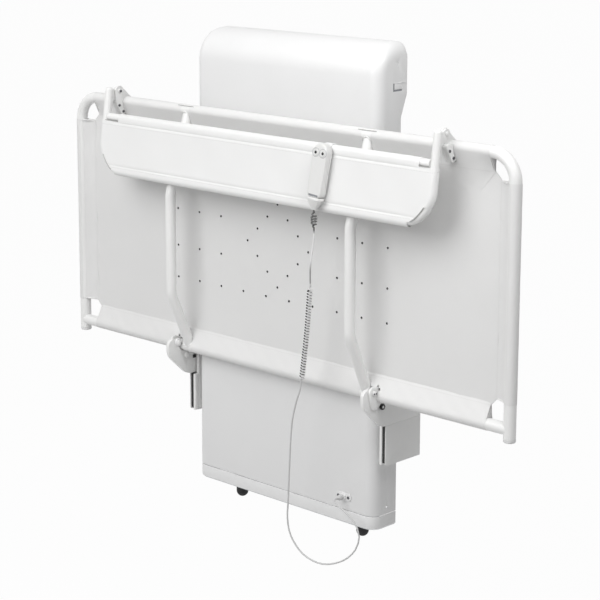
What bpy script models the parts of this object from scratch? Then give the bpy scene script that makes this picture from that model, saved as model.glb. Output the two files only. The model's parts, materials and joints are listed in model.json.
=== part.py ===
import math

import bmesh
import bpy
from mathutils import Matrix, Vector

# Clearance between neighbouring pieces, in metres like every size below
GAP = 0.0003

# Bed frame: one bent tube with two posts and a top rail, and a crossbar between the posts
BED_LENGTH = 1.800        # over the outer faces of the posts
BED_DEPTH = 0.800         # from the post ends to the top of the rail
TUBE_D = 0.035
TUBE_WALL = 0.002
CORNER_R = 0.075          # bend radius on the tube's axis
CROSSBAR_UP = 0.036       # crossbar axis above the post ends
PLUG_H = 0.008
PLUG_SPIGOT = 0.015
BED_OFF = 0.225           # bed tube plane in front of the wall
BED_LOW = -0.900          # post ends below the middle of the upper wall plate

# Support arms under the bed
ARM_D = 0.032
ARM_WALL = 0.002
ARM_X = 0.372
ARM_FWD = 0.080           # straight stretch in front of the bed tube plane
ARM_LOW = 0.216           # lower bend above the post ends
ARM_HIGH = 0.530          # upper bend above the post ends
ARM_BEND = 0.080

# Coated fabric sheet with sleeves on all four tubes and drain holes
SHEET_T = 0.002
SHEET_BACK = 0.010        # sheet behind the bed tube plane
SLEEVE_T = 0.0015
SEAM = 0.058              # seam from the tube axis
SEAM_T = 0.0028
SLEEVE_END = 0.072        # sleeve end from the crossing tube's axis
HOLE_D = 0.007
HOLE_PITCH = 0.0965
HOLE_ROW_NEAR = 0.0585
HOLE_ROW_FAR = 0.160
DIAMOND_STEP = 0.042
NOTCH_SIDE = 0.004        # sleeve cut back beside the arms, lugs and clamps
NOTCH_TIP = 0.008         # seam left whole at the bottom of a cut-out

# Hinge between bed and carriage
PIVOT_EDGE = 0.0095       # plate between the pivot axis and the crossbar's clearance
PIVOT_RISE = 0.012        # pivot axis above the crossbar axis
PIVOT_PIN_D = 0.010
PIVOT_HEAD_D = 0.018
PIVOT_HEAD_T = 0.006
CAP_D = 0.023
CAP_T = 0.012
LUG_T = 0.006
LUG_R = 0.019             # round end at the pivot
LUG_TUBE_R = 0.022        # round end at the crossbar
LUG_FOOT_R = 0.017
LUG_FOOT_DROP = 0.034     # lower round end below the pivot
HINGE_PLATE_T = 0.011
NOSE_FWD = 0.039          # nose of the plate in front of the pivot
NOSE_DROP = 0.111         # underside of the plate below the pivot
NOTCH_GAP = 0.0025        # room round the crossbar in the plate
STOP_BACK = 0.039         # stop bolt behind the pivot
STOP_DROP = 0.048         # stop bolt below the pivot
STOP_PIN_D = 0.008
STOP_NUT_D = 0.018
STOP_NUT_T = 0.008
STOP_HEAD_D = 0.020
STOP_HEAD_T = 0.005

# Tower behind the bed: skirt, front cover and hood, all open to the wall
TOWER_W = 0.750
TOWER_FRONT = 0.028       # front face behind the bed tube plane
TOWER_DEPTH = 0.099
TOWER_LOW = -0.390        # lower edge from the post ends
SKIRT_H = 0.038
COVER_H = 0.9717
HOOD_H = 0.414
COVER_T = 0.003
TOWER_CORNER = 0.036
HOOD_R = 0.095
HOOD_STEP = 0.038         # upper rear of the hood past the lower rear
HOOD_STEP_H = 0.150
HOOD_REAR_DRAWN = 0.45    # how far the rear follows the rounding of the ends
HOOD_BLEND_H = 0.065
HOOD_REAR_R = 0.022
POCKET_W = 0.039
POCKET_H = 0.025
POCKET_IN = 0.044         # pocket's rear edge inside the hood's rear
POCKET_T = 0.0016
POCKET_UP = 0.1138        # pocket's top below the hood's top
SIDE_HOLE_D = 0.006
SIDE_HOLE_BACK = 0.058
SIDE_HOLE_UP = 0.021

# Inner frame
COLUMN = 0.050
COLUMN_WALL = 0.003
COLUMN_X = 0.220
COLUMN_BACK = 0.037       # column front face behind the tower's front face
BRIDGE_T = 0.008
TOP_ROOM = 0.110          # top bridge below the hood's top
WALL_PLATE_W = 0.560
WALL_PLATE_H = 0.100
WALL_PLATE_T = 0.004
WALL_HOLE_D = 0.009
WALL_HOLE_PITCH = 0.500
LOWER_PLATE_UP = 0.015
LOWER_PLATE_H = 0.070
FOOT_D = 0.038
FOOT_H = 0.063
FOOT_IN = 0.118           # foot axis inside the tower's end
FOOT_BACK = 0.085         # foot axis behind the tower's front face
SPINDLE_D = 0.018
CONTROL_W = 0.130
CONTROL_D = 0.062
CONTROL_H = 0.150

# Carriage
BEAM_D = 0.045
BEAM_H = 0.100
BEAM_WALL = 0.003
BEAM_DROP = 0.100         # beam axis below the post ends
BLOCK_WALL = 0.010
BLOCK_REAR = 0.025
BLOCK_H = 0.100
MOTOR_W = 0.090
MOTOR_H = 0.110
MOTOR_BARREL_D = 0.056
MOTOR_BARREL_L = 0.120
BRACKET_X = 0.3885        # inner face of the side bracket
BRACKET_INNER_T = 0.010
BRACKET_SLOT = 0.0122
BRACKET_OUTER_T = 0.003
BRACKET_FRONT = 0.033     # outer wall's front edge behind the bed tube plane
BRACKET_STEP = 0.015      # inner wall's front edge behind the outer one's
BRACKET_BACK = 0.188
BRACKET_WEB = 0.008
BRACKET_TOP = 0.005       # above the post ends
BRACKET_LOW = -0.185
BRACKET_R = 0.014

# Guard rail, hung from the bed's top rail
GUARD_TUBE_D = 0.025
GUARD_WALL = 0.002
GUARD_X = 0.670           # leg axis from the middle
GUARD_FWD = 0.075         # guard's top tube in front of the bed tube plane
GUARD_DROP = 0.0405       # guard's top tube below the bed's top rail
GUARD_H = 0.1640          # between the guard's two tubes
GUARD_LEAN = math.radians(7.6)
GUARD_CORNER = 0.090
LEG_ABOVE = 0.085         # leg end above the guard's top tube
LEG_CAP = 0.008
PANEL_T = 0.0015
PANEL_CUT_W = 0.110       # corner cut from the leg's axis along the lower tube
PANEL_CUT_H = 0.049       # and up the leg from the lower tube's axis
PANEL_CUT_FLAT = 0.047    # level part of that cut
PANEL_SLOT_W = 0.070      # slot over each end of the top tube, from the leg's axis
PANEL_SLOT_H = 0.018      # its lower edge under the top tube's axis
GUARD_PIVOT_FWD = 0.031
GUARD_PIVOT_UP = 0.0375
LEVER_T = 0.006
LEVER_R = 0.014
LEVER_LOW = 0.045         # lever's lower corner above the guard's top tube
CLAMP_T = 0.008
CLAMP_R = 0.025
CLAMP_NOSE_R = 0.016
CLAMP_FOOT_R = 0.012
CLAMP_FOOT_FWD = 0.020
CLAMP_FOOT_DROP = 0.0305
GUARD_PIN_D = 0.008
GUARD_PIN_HEAD_D = 0.015
GUARD_PIN_HEAD_T = 0.004

# Handset on the guard rail
HAND_X = 0.2895
HAND_W = 0.056
HAND_FOOT_W = 0.052
HAND_L = 0.126            # from the arch centre to the foot
HAND_T = 0.026
HAND_TOP = 0.012          # arch centre below the guard's top tube
HAND_ROLL = math.radians(4.5)
HAND_EDGE = 0.004
HOOK_W = 0.030
HOOK_T = 0.003
HOOK_LEG = 0.030
BUTTON_D = 0.020
BUTTON_PITCH = 0.027
BUTTON_PROUD = 0.0015
BUTTON_BODY = 0.0018
BUTTON_WELL = 0.004
BOOT_L = 0.035
BOOT_TOP_D = 0.046
BOOT_END_D = 0.016
BOOT_FLAT = 0.55          # boot's depth as a share of its width

# Socket and plug for the handset's cord, on the front cover
SOCKET_IN = 0.117         # socket inside the tower's end
SOCKET_UP = 0.079         # above the tower's lower edge
SOCKET_W = 0.060
SOCKET_H = 0.026
SOCKET_T = 0.003
SOCKET_BOSS_D = 0.022
SOCKET_BOSS_T = 0.006
PLUG_BODY_D = 0.016
PLUG_BODY_L = 0.022
PLUG_PIN_D = 0.010
PLUG_PIN_L = 0.005

# Cord: loose curls, a tight coil, a plain drop and a hanging loop
CORD_D = 0.005
LOOSE_CURLS = 5
LOOSE_R = 0.007
LOOSE_L = 0.060
TIGHT_CURLS = 50
TIGHT_R = 0.0062
POINTS_PER_CURL = 8
# Route from the strain relief down, across X, in front of the wall, above the post ends
LEAD_ROUTE = [(0.272, -0.347, 0.498), (0.262, -0.343, 0.452), (0.252, -0.340, 0.405)]
COIL_TOP = (0.250, -0.338, 0.356)
COIL_MIDDLE = (0.231, -0.332, 0.205)
COIL_LOW = (0.2035, -0.325, 0.048)
COIL_TAIL = 0.050         # plain cord under the coil that the bed still carries
DROP_ROUTE = [(0.196, -0.323, 0.026), (0.179, -0.320, -0.012), (0.158, -0.315, -0.075), (0.146, -0.310, -0.150),
              (0.137, -0.305, -0.230), (0.127, -0.300, -0.338), (0.122, -0.297, -0.390), (0.133, -0.293, -0.443),
              (0.177, -0.285, -0.491)]
LOOP_LOW = (0.246, -0.275, -0.505)
TAIL_ROUTE = [(0.317, -0.265, -0.478), (0.3565, -0.255, -0.437), (0.366, -0.249, -0.396), (0.356, -0.247, -0.372),
              (0.329, -0.247, -0.347), (0.298, -0.247, -0.331), (0.276, -0.247, -0.3225), (0.262, -0.2425, -0.314)]

# Places that follow from the sizes above
BED_Y = -BED_OFF
TUBE_R = TUBE_D / 2
POST_X = BED_LENGTH / 2 - TUBE_R
RAIL_Z = BED_LOW + BED_DEPTH - TUBE_R
CROSSBAR_Z = BED_LOW + CROSSBAR_UP
NOTCH_R = TUBE_R + NOTCH_GAP
PIVOT = Vector((0, BED_Y - NOTCH_R - PIVOT_EDGE + 0.0025, CROSSBAR_Z + PIVOT_RISE))
BRACKET_FACE = BRACKET_X + BRACKET_INNER_T + BRACKET_SLOT + BRACKET_OUTER_T
HINGE_PLATE_X = BRACKET_FACE - HINGE_PLATE_T
LUG_X = HINGE_PLATE_X + HINGE_PLATE_T + GAP
TOWER_Y = BED_Y + TOWER_FRONT
TOWER_REAR = TOWER_Y + TOWER_DEPTH
TOWER_Z = BED_LOW + TOWER_LOW
COVER_Z = TOWER_Z + SKIRT_H + GAP
HOOD_Z = COVER_Z + COVER_H + GAP
HOOD_TOP = HOOD_Z + HOOD_H
COLUMN_Y = TOWER_Y + COLUMN_BACK + COLUMN / 2
BASE_Z = TOWER_Z - BRIDGE_T / 2
COLUMN_Z = BASE_Z + BRIDGE_T + GAP
BRIDGE_Z = HOOD_TOP - TOP_ROOM
BLOCK_Y = COLUMN_Y + COLUMN / 2 + GAP + BLOCK_REAR
BEAM_Y = BLOCK_Y + GAP
BEAM_Z = BED_LOW - BEAM_DROP
GUARD_AXIS = Vector((0, BED_Y - GUARD_PIVOT_FWD, RAIL_Z + GUARD_PIVOT_UP))
GUARD_TOP = Vector((0, BED_Y - GUARD_FWD, RAIL_Z - GUARD_DROP))
GUARD_PLACE = Matrix.Translation(GUARD_TOP) @ Matrix.Rotation(-GUARD_LEAN, 4, "X")
GUARD_R = GUARD_TUBE_D / 2
PANEL_R = GUARD_R + GAP + PANEL_T
LEVER_X = GUARD_X - LEVER_T / 2
CLAMP_X = LEVER_X - GAP - CLAMP_T
HAND_BACK = -PANEL_R - 2 * GAP - HOOK_T
HAND_PLACE = GUARD_PLACE @ Matrix.Translation((HAND_X, HAND_BACK - HAND_T / 2, -HAND_TOP))
HAND_PLACE = HAND_PLACE @ Matrix.Rotation(HAND_ROLL, 4, "Y")
FOOT_X = TOWER_W / 2 - FOOT_IN
SOCKET_X = TOWER_W / 2 - SOCKET_IN
SOCKET_Z = TOWER_Z + SOCKET_UP
PLUG_Y = TOWER_Y - GAP - SOCKET_T - SOCKET_BOSS_T - GAP

# Outline planes: an outline's x and y run along these axes and its thickness along the third
ACROSS_X = Matrix(((0, 0, 1, 0), (1, 0, 0, 0), (0, 1, 0, 0), (0, 0, 0, 1)))
ACROSS_Y = Matrix(((1, 0, 0, 0), (0, 0, -1, 0), (0, 1, 0, 0), (0, 0, 0, 1)))
UPRIGHT = Matrix.Identity(4)

for old in list(bpy.data.objects):
    bpy.data.objects.remove(old)
parts = bpy.data.collections.new("changing_station")
cutters = bpy.data.collections.new("cutters")
bpy.context.scene.collection.children.link(parts)
bpy.context.scene.collection.children.link(cutters)


def finish(name, colour, roughness, metallic=0.0):
    material = bpy.data.materials.new(name)
    material.use_nodes = True
    shader = material.node_tree.nodes["Principled BSDF"]
    shader.inputs["Base Color"].default_value = (*colour, 1)
    shader.inputs["Roughness"].default_value = roughness
    shader.inputs["Metallic"].default_value = metallic
    return material


WHITE_PAINT = finish("white_powder_coat", (0.86, 0.86, 0.85), 0.35)
WHITE_SHELL = finish("white_moulded_shell", (0.84, 0.84, 0.84), 0.3)
SHEET_CLOTH = finish("coated_sheet", (0.72, 0.71, 0.70), 0.6)
PANEL_CLOTH = finish("coated_panel", (0.82, 0.82, 0.82), 0.55)
BARE_STEEL = finish("zinc_plated_steel", (0.60, 0.61, 0.62), 0.4, 1.0)
BLACK_RUBBER = finish("black_rubber", (0.03, 0.03, 0.03), 0.8)
GREY_PLASTIC = finish("grey_plastic", (0.30, 0.31, 0.33), 0.5)
CORD_GREY = finish("grey_cord", (0.55, 0.55, 0.55), 0.5)


def axis_empty(name, place):
    empty = bpy.data.objects.new(name, None)
    empty.location = place
    parts.objects.link(empty)
    return empty


TOWER = axis_empty("tower_origin", (0, 0, 0))
CARRIAGE = axis_empty("lift_axis", (0, COLUMN_Y, BEAM_Z))
BED = axis_empty("bed_axis", PIVOT)
GUARD = axis_empty("guard_axis", GUARD_AXIS)
bpy.context.view_layer.update()


def add(name, mesh, material, parent, place=UPRIGHT, smooth=True):
    piece = bpy.data.objects.new(name, mesh)
    parts.objects.link(piece)
    piece.parent = parent
    piece.matrix_parent_inverse = parent.matrix_world.inverted()
    piece.matrix_basis = place
    mesh.materials.clear()
    mesh.materials.append(material)
    if smooth:
        mesh.shade_smooth()
        mesh.set_sharp_from_angle(angle=math.radians(35))
    return piece


def scratch(name, mesh, place=UPRIGHT):
    tool = bpy.data.objects.new(name, mesh)
    cutters.objects.link(tool)
    tool.matrix_world = place
    tool.hide_render = True
    tool.display_type = "WIRE"
    return tool


def boolean(piece, tool, operation="DIFFERENCE"):
    modifier = piece.modifiers.new(tool.name, "BOOLEAN")
    modifier.operation = operation
    modifier.solver = "EXACT"
    modifier.object = tool


def curve_mesh(name, curve):
    holder = bpy.data.objects.new(name, curve)
    bpy.context.scene.collection.objects.link(holder)
    evaluated = holder.evaluated_get(bpy.context.evaluated_depsgraph_get())
    mesh = bpy.data.meshes.new_from_object(evaluated)
    bpy.data.objects.remove(holder)
    bpy.data.curves.remove(curve)
    work = bmesh.new()
    work.from_mesh(mesh)
    bmesh.ops.remove_doubles(work, verts=work.verts, dist=0.00001)
    bmesh.ops.recalc_face_normals(work, faces=work.faces)
    work.to_mesh(mesh)
    work.free()
    return mesh


def spline_through(curve, points, closed):
    spline = curve.splines.new("POLY")
    spline.points.add(len(points) - 1)
    for knot, point in zip(spline.points, points):
        knot.co = (*Vector(point).to_3d(), 1)
    spline.use_cyclic_u = closed


def solid_plate(name, outline, thickness):
    mesh = bpy.data.meshes.new(name)
    work = bmesh.new()
    flat = [Vector(point).to_2d() for point in outline]
    low = [work.verts.new((x, y, -thickness / 2)) for x, y in flat]
    high = [work.verts.new((x, y, thickness / 2)) for x, y in flat]
    work.faces.new(low)
    work.faces.new(high)
    for index in range(len(flat)):
        work.faces.new((low[index - 1], low[index], high[index], high[index - 1]))
    bmesh.ops.recalc_face_normals(work, faces=work.faces)
    work.to_mesh(mesh)
    work.free()
    return mesh


def plate(name, outlines, thickness):
    if len(outlines) == 1:
        return solid_plate(name, outlines[0], thickness)
    curve = bpy.data.curves.new(name, "CURVE")
    curve.dimensions = "2D"
    curve.fill_mode = "BOTH"
    curve.extrude = thickness / 2
    for outline in outlines:
        spline_through(curve, outline, True)
    return curve_mesh(name, curve)


def rod(name, points, diameter, resolution=5):
    curve = bpy.data.curves.new(name, "CURVE")
    curve.dimensions = "3D"
    curve.bevel_depth = diameter / 2
    curve.bevel_resolution = resolution
    curve.use_fill_caps = True
    spline_through(curve, points, False)
    return curve_mesh(name, curve)


def stretched(points, extra):
    first, second = Vector(points[0]), Vector(points[1])
    last, before = Vector(points[-1]), Vector(points[-2])
    start = first + (first - second).normalized() * extra
    end = last + (last - before).normalized() * extra
    return [start, *points[1:-1], end]


def pipe(name, points, diameter, wall, material, parent, place=UPRIGHT):
    piece = add(name, rod(name, points, diameter), material, parent, place)
    bore = rod(name + "_bore", stretched(points, 0.002), diameter - 2 * wall)
    boolean(piece, scratch(name + "_bore", bore, place))
    return piece


def rounded(points, radius, closed=False, steps=5):
    points = [Vector(point).to_3d() for point in points]
    path = []
    for index, corner in enumerate(points):
        if not closed and index in (0, len(points) - 1):
            path.append(corner)
            continue
        size = radius[index] if isinstance(radius, (list, tuple)) else radius
        before = (points[index - 1] - corner).normalized()
        after = (points[(index + 1) % len(points)] - corner).normalized()
        half = before.angle(after) / 2
        if size <= 0 or half > math.pi / 2 - 0.001:
            path.append(corner)
            continue
        centre = corner + (before + after).normalized() * (size / math.sin(half))
        first = corner + before * (size / math.tan(half)) - centre
        last = corner + after * (size / math.tan(half)) - centre
        sweep = first.angle(last)
        for step in range(steps + 1):
            part = step / steps
            path.append(centre + (first * math.sin((1 - part) * sweep) + last * math.sin(part * sweep))
                        / math.sin(sweep))
    return path


def circle(centre, radius, steps=16):
    return [(centre[0] + radius * math.cos(math.tau * step / steps),
             centre[1] + radius * math.sin(math.tau * step / steps)) for step in range(steps)]


def hull(discs, steps=22):
    cloud = sorted({(round(x, 7), round(y, 7)) for centre, radius in discs
                    for x, y in circle(centre, radius, steps if radius > 0 else 1)})
    def half(points):
        chain = []
        for point in points:
            while len(chain) > 1 and ((chain[-1][0] - chain[-2][0]) * (point[1] - chain[-2][1])
                                      <= (chain[-1][1] - chain[-2][1]) * (point[0] - chain[-2][0])):
                chain.pop()
            chain.append(point)
        return chain[:-1]
    return half(cloud) + half(cloud[::-1])


def rectangle(width, height, centre=(0, 0)):
    x, y = centre
    return [(x - width / 2, y - height / 2), (x + width / 2, y - height / 2),
            (x + width / 2, y + height / 2), (x - width / 2, y + height / 2)]


def block_mesh(name, low, high):
    mesh = bpy.data.meshes.new(name)
    work = bmesh.new()
    bmesh.ops.create_cube(work, size=1)
    low, high = Vector(low), Vector(high)
    bmesh.ops.scale(work, vec=high - low, verts=work.verts)
    bmesh.ops.translate(work, vec=(high + low) / 2, verts=work.verts)
    work.to_mesh(mesh)
    work.free()
    return mesh


def cylinder_mesh(name, diameter, length, sides=20):
    mesh = bpy.data.meshes.new(name)
    work = bmesh.new()
    bmesh.ops.create_cone(work, cap_ends=True, segments=sides, radius1=diameter / 2, radius2=diameter / 2,
                          depth=length)
    work.to_mesh(mesh)
    work.free()
    return mesh


def turned(name, profile, material, parent, place, steps=14):
    mesh = bpy.data.meshes.new(name)
    work = bmesh.new()
    knots = [work.verts.new((radius, 0, height)) for radius, height in profile]
    for first, second in zip(knots, knots[1:]):
        work.edges.new((first, second))
    work.to_mesh(mesh)
    work.free()
    piece = add(name, mesh, material, parent, place, smooth=False)
    spin = piece.modifiers.new("turn", "SCREW")
    spin.steps = steps
    spin.render_steps = steps
    spin.use_merge_vertices = True
    spin.merge_threshold = 0.00001
    spin.use_smooth_shade = True
    return piece


def along_x(place, side):
    turn = Matrix.Rotation(side * math.pi / 2, 4, "Y")
    return Matrix.Translation(place) @ turn


def dome(radius, height, base, steps=3):
    return [(radius * math.sin(math.pi / 2 * step / steps), base + height * math.cos(math.pi / 2 * step / steps))
            for step in range(steps + 1)]


def smooth_route(points, step):
    points = [Vector(point) for point in points]
    ends = [2 * points[0] - points[1], *points, 2 * points[-1] - points[-2]]
    path = [points[0]]
    for before, first, last, after in zip(ends, ends[1:], ends[2:], ends[3:]):
        count = max(1, round((last - first).length / step))
        for index in range(1, count + 1):
            part = index / count
            path.append(0.5 * (2 * first + (last - before) * part
                               + (2 * before - 5 * first + 4 * last - after) * part ** 2
                               + (3 * first - before - 3 * last + after) * part ** 3))
    return path


def curled(route, turns, radius):
    lengths = [0.0]
    for first, second in zip(route, route[1:]):
        lengths.append(lengths[-1] + (second - first).length)
    count = turns * POINTS_PER_CURL
    steps = [1.8 if min(index, count - 1 - index) < POINTS_PER_CURL else 1.0 for index in range(count)]
    scale = (lengths[-1] - 2 * CORD_D) / sum(steps)
    path = [route[0]]
    for index in range(count + 1):
        reach = CORD_D + scale * sum(steps[:index])
        leg = max(place for place in range(len(lengths) - 1) if lengths[place] <= reach)
        run = (route[leg + 1] - route[leg]).normalized()
        centre = route[leg] + run * (reach - lengths[leg])
        side = run.cross(Vector((0, 1, 0))).normalized()
        front = side.cross(run)
        swell = min(1.0, index / POINTS_PER_CURL, (count - index) / POINTS_PER_CURL)
        angle = math.tau * index / POINTS_PER_CURL
        path.append(centre + radius * swell * (math.cos(angle) * side + math.sin(angle) * front))
    path.append(route[-1])
    return path


def least_gap(path):
    nearest = min((first - second).length for index, first in enumerate(path)
                  for second in path[index + POINTS_PER_CURL // 2 + 1:])
    return nearest - CORD_D


def tower_outline(inset):
    side, front, rear = TOWER_W / 2 - inset, TOWER_Y + inset, TOWER_REAR
    corner = TOWER_CORNER - inset
    return rounded([(-side, rear), (-side, front), (side, front), (side, rear)], corner)


def tower_wall(name, low, height):
    outer, inner = tower_outline(0), tower_outline(COVER_T)
    mesh = plate(name, [outer + inner[::-1]], height)
    return add(name, mesh, WHITE_SHELL, TOWER, Matrix.Translation((0, 0, low + height / 2)))


def build_skirt():
    tower_wall("skirt", TOWER_Z, SKIRT_H)


def build_front_cover():
    cover = tower_wall("front_cover", COVER_Z, COVER_H)
    hole = cylinder_mesh("side_hole", SIDE_HOLE_D, 4 * COVER_T, 12)
    place = (TOWER_W / 2, TOWER_Y + SIDE_HOLE_BACK, COVER_Z + SIDE_HOLE_UP)
    boolean(cover, scratch("side_hole", hole, along_x(place, 1)))


def hood_profile(inset, drawn):
    front, top, past = TOWER_Y + inset + drawn, HOOD_TOP - inset - drawn, 0.010 if inset else 0.0
    rear, low = TOWER_REAR + past, HOOD_Z - past
    step = rear + HOOD_STEP - HOOD_REAR_DRAWN * drawn
    step_low = HOOD_TOP - HOOD_STEP_H
    corners = [(front, low), (front, top), (step, top), (step, step_low), (rear, step_low - HOOD_BLEND_H),
               (rear, low)]
    blend = HOOD_BLEND_H * 0.45
    return rounded(corners, [0, HOOD_R - inset - drawn, 0 if inset else HOOD_REAR_R, blend, blend, 0], True, 4)


def hood_loaf(name, inset):
    half, bend, steps = TOWER_W / 2 - inset, TOWER_CORNER - inset, 4
    turns = [math.pi / 2 * step / steps for step in range(steps + 1)]
    ends = [(half - bend * (1 - math.sin(turn)), bend * (1 - math.cos(turn))) for turn in turns]
    mesh = bpy.data.meshes.new(name)
    work = bmesh.new()
    rings = []
    for x, drawn in [*[(-x, drawn) for x, drawn in ends[::-1]], *ends]:
        rings.append([work.verts.new((x, point.x, point.y)) for point in hood_profile(inset, drawn)])
    for first, second in zip(rings, rings[1:]):
        for index in range(len(first)):
            work.faces.new((first[index - 1], first[index], second[index], second[index - 1]))
    work.faces.new(rings[0])
    work.faces.new(rings[-1])
    bmesh.ops.recalc_face_normals(work, faces=work.faces)
    work.to_mesh(mesh)
    work.free()
    return mesh


def build_hood():
    hood = add("hood", hood_loaf("hood", 0), WHITE_SHELL, TOWER)
    boolean(hood, scratch("hood_inside", hood_loaf("hood_inside", COVER_T)))
    rear = TOWER_REAR + HOOD_STEP - POCKET_IN
    top = HOOD_TOP - POCKET_UP
    side = TOWER_W / 2
    pocket = block_mesh("hood_pocket", (side - POCKET_T, rear - POCKET_W, top - POCKET_H),
                        (side + POCKET_T, rear, top))
    boolean(hood, scratch("hood_pocket", pocket))


def build_feet():
    for name, side in (("foot_left", -1), ("foot_right", 1)):
        radius = FOOT_D / 2
        rim = BASE_Z - GAP
        bowl = [(radius * math.cos(math.pi / 2 * step / 5), rim - 0.008 - (FOOT_H - 0.008)
                 * math.sin(math.pi / 2 * step / 5)) for step in range(6)]
        profile = [(0, rim), (radius, rim), *bowl]
        profile[-1] = (0, rim - FOOT_H)
        place = Matrix.Translation((side * FOOT_X, TOWER_Y + FOOT_BACK, 0))
        turned(name, profile, BLACK_RUBBER, TOWER, place)


def build_inner_frame():
    inside = TOWER_W / 2 - COVER_T - GAP
    front = TOWER_Y + COVER_T + GAP
    for name, rear, low in (("base_plate", TOWER_REAR, BASE_Z), ("top_bridge", COLUMN_Y + COLUMN / 2, BRIDGE_Z)):
        outline = rounded([(-inside, rear), (-inside, front), (inside, front), (inside, rear)],
                          [0, TOWER_CORNER, TOWER_CORNER, 0], True)
        add(name, plate(name, [outline], BRIDGE_T), BARE_STEEL, TOWER, Matrix.Translation((0, 0, low + BRIDGE_T / 2)))
    length = BRIDGE_Z - GAP - COLUMN_Z
    hollow = COLUMN - 2 * COLUMN_WALL
    for name, side in (("column_left", -1), ("column_right", 1)):
        mesh = plate(name, [rectangle(COLUMN, COLUMN), rectangle(hollow, hollow)], length)
        add(name, mesh, BARE_STEEL, TOWER,
            Matrix.Translation((side * COLUMN_X, COLUMN_Y, COLUMN_Z + length / 2)))
    spindle = [(0, -COLUMN_Y, COLUMN_Z), (0, -COLUMN_Y, BRIDGE_Z - GAP)]
    spindle = [(x, -y, z) for x, y, z in spindle]
    add("lift_spindle", rod("lift_spindle", spindle, SPINDLE_D), BARE_STEEL, TOWER)


def build_wall_plates():
    arm = WALL_PLATE_T / 2
    reach = COLUMN_Y + COLUMN / 2 + GAP
    half = WALL_PLATE_W / 2
    right = [(half, 0), (half, -WALL_PLATE_T), (COLUMN_X + arm, -WALL_PLATE_T), (COLUMN_X + arm, reach),
             (COLUMN_X - arm, reach), (COLUMN_X - arm, -WALL_PLATE_T)]
    outline = right + [(-x, y) for x, y in right[::-1]]
    lower = COLUMN_Z + LOWER_PLATE_UP + LOWER_PLATE_H / 2
    for name, height, middle in (("wall_plate_upper", WALL_PLATE_H, 0.0), ("wall_plate_lower", LOWER_PLATE_H, lower)):
        piece = add(name, plate(name, [outline], height), BARE_STEEL, TOWER, Matrix.Translation((0, 0, middle)))
        for side in (-1, 1):
            hole = cylinder_mesh(name + "_hole", WALL_HOLE_D, 4 * WALL_PLATE_T, 12)
            place = Matrix.Translation((side * WALL_HOLE_PITCH / 2, 0, middle)) @ Matrix.Rotation(math.pi / 2, 4, "X")
            boolean(piece, scratch(f"{name}_hole_{side + 1}", hole, place))


def build_control_box():
    low = Vector((SPINDLE_D, TOWER_Y + COLUMN_BACK - 0.010, BRIDGE_Z - GAP - CONTROL_H))
    mesh = block_mesh("control_box", low, low + Vector((CONTROL_W, CONTROL_D, CONTROL_H)))
    box = add("control_box", mesh, GREY_PLASTIC, TOWER)
    bevel = box.modifiers.new("edges", "BEVEL")
    bevel.width = 0.004
    bevel.segments = 2


def build_socket():
    face = TOWER_Y - GAP - SOCKET_T / 2
    mesh = plate("cord_socket", [hull([((-SOCKET_W / 2 + SOCKET_H / 2, 0), SOCKET_H / 2),
                                       ((SOCKET_W / 2 - SOCKET_H / 2, 0), SOCKET_H / 2)])], SOCKET_T)
    socket = add("cord_socket", mesh, WHITE_SHELL, TOWER,
                 Matrix.Translation((SOCKET_X, face, SOCKET_Z)) @ ACROSS_Y)
    forward = Matrix.Rotation(math.pi / 2, 4, "X")
    boss = cylinder_mesh("socket_boss", SOCKET_BOSS_D, SOCKET_T + SOCKET_BOSS_T)
    middle = (SOCKET_X, TOWER_Y - GAP - (SOCKET_T + SOCKET_BOSS_T) / 2 - 0.0001, SOCKET_Z)
    boolean(socket, scratch("socket_boss", boss, Matrix.Translation(middle) @ forward), "UNION")
    well = cylinder_mesh("socket_well", PLUG_PIN_D + 2 * GAP, 2 * (PLUG_PIN_L + 0.001))
    mouth = (SOCKET_X, PLUG_Y + GAP, SOCKET_Z)
    boolean(socket, scratch("socket_well", well, Matrix.Translation(mouth) @ forward))
    body, pin = PLUG_BODY_D / 2, PLUG_PIN_D / 2
    profile = [(0, PLUG_BODY_L), (CORD_D * 0.7, PLUG_BODY_L), (body, PLUG_BODY_L * 0.55), (body, 0), (pin, 0),
               (pin, -PLUG_PIN_L), (0, -PLUG_PIN_L)]
    place = Matrix.Translation((SOCKET_X, PLUG_Y, SOCKET_Z)) @ forward
    turned("cord_plug", profile, GREY_PLASTIC, TOWER, place)


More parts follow.
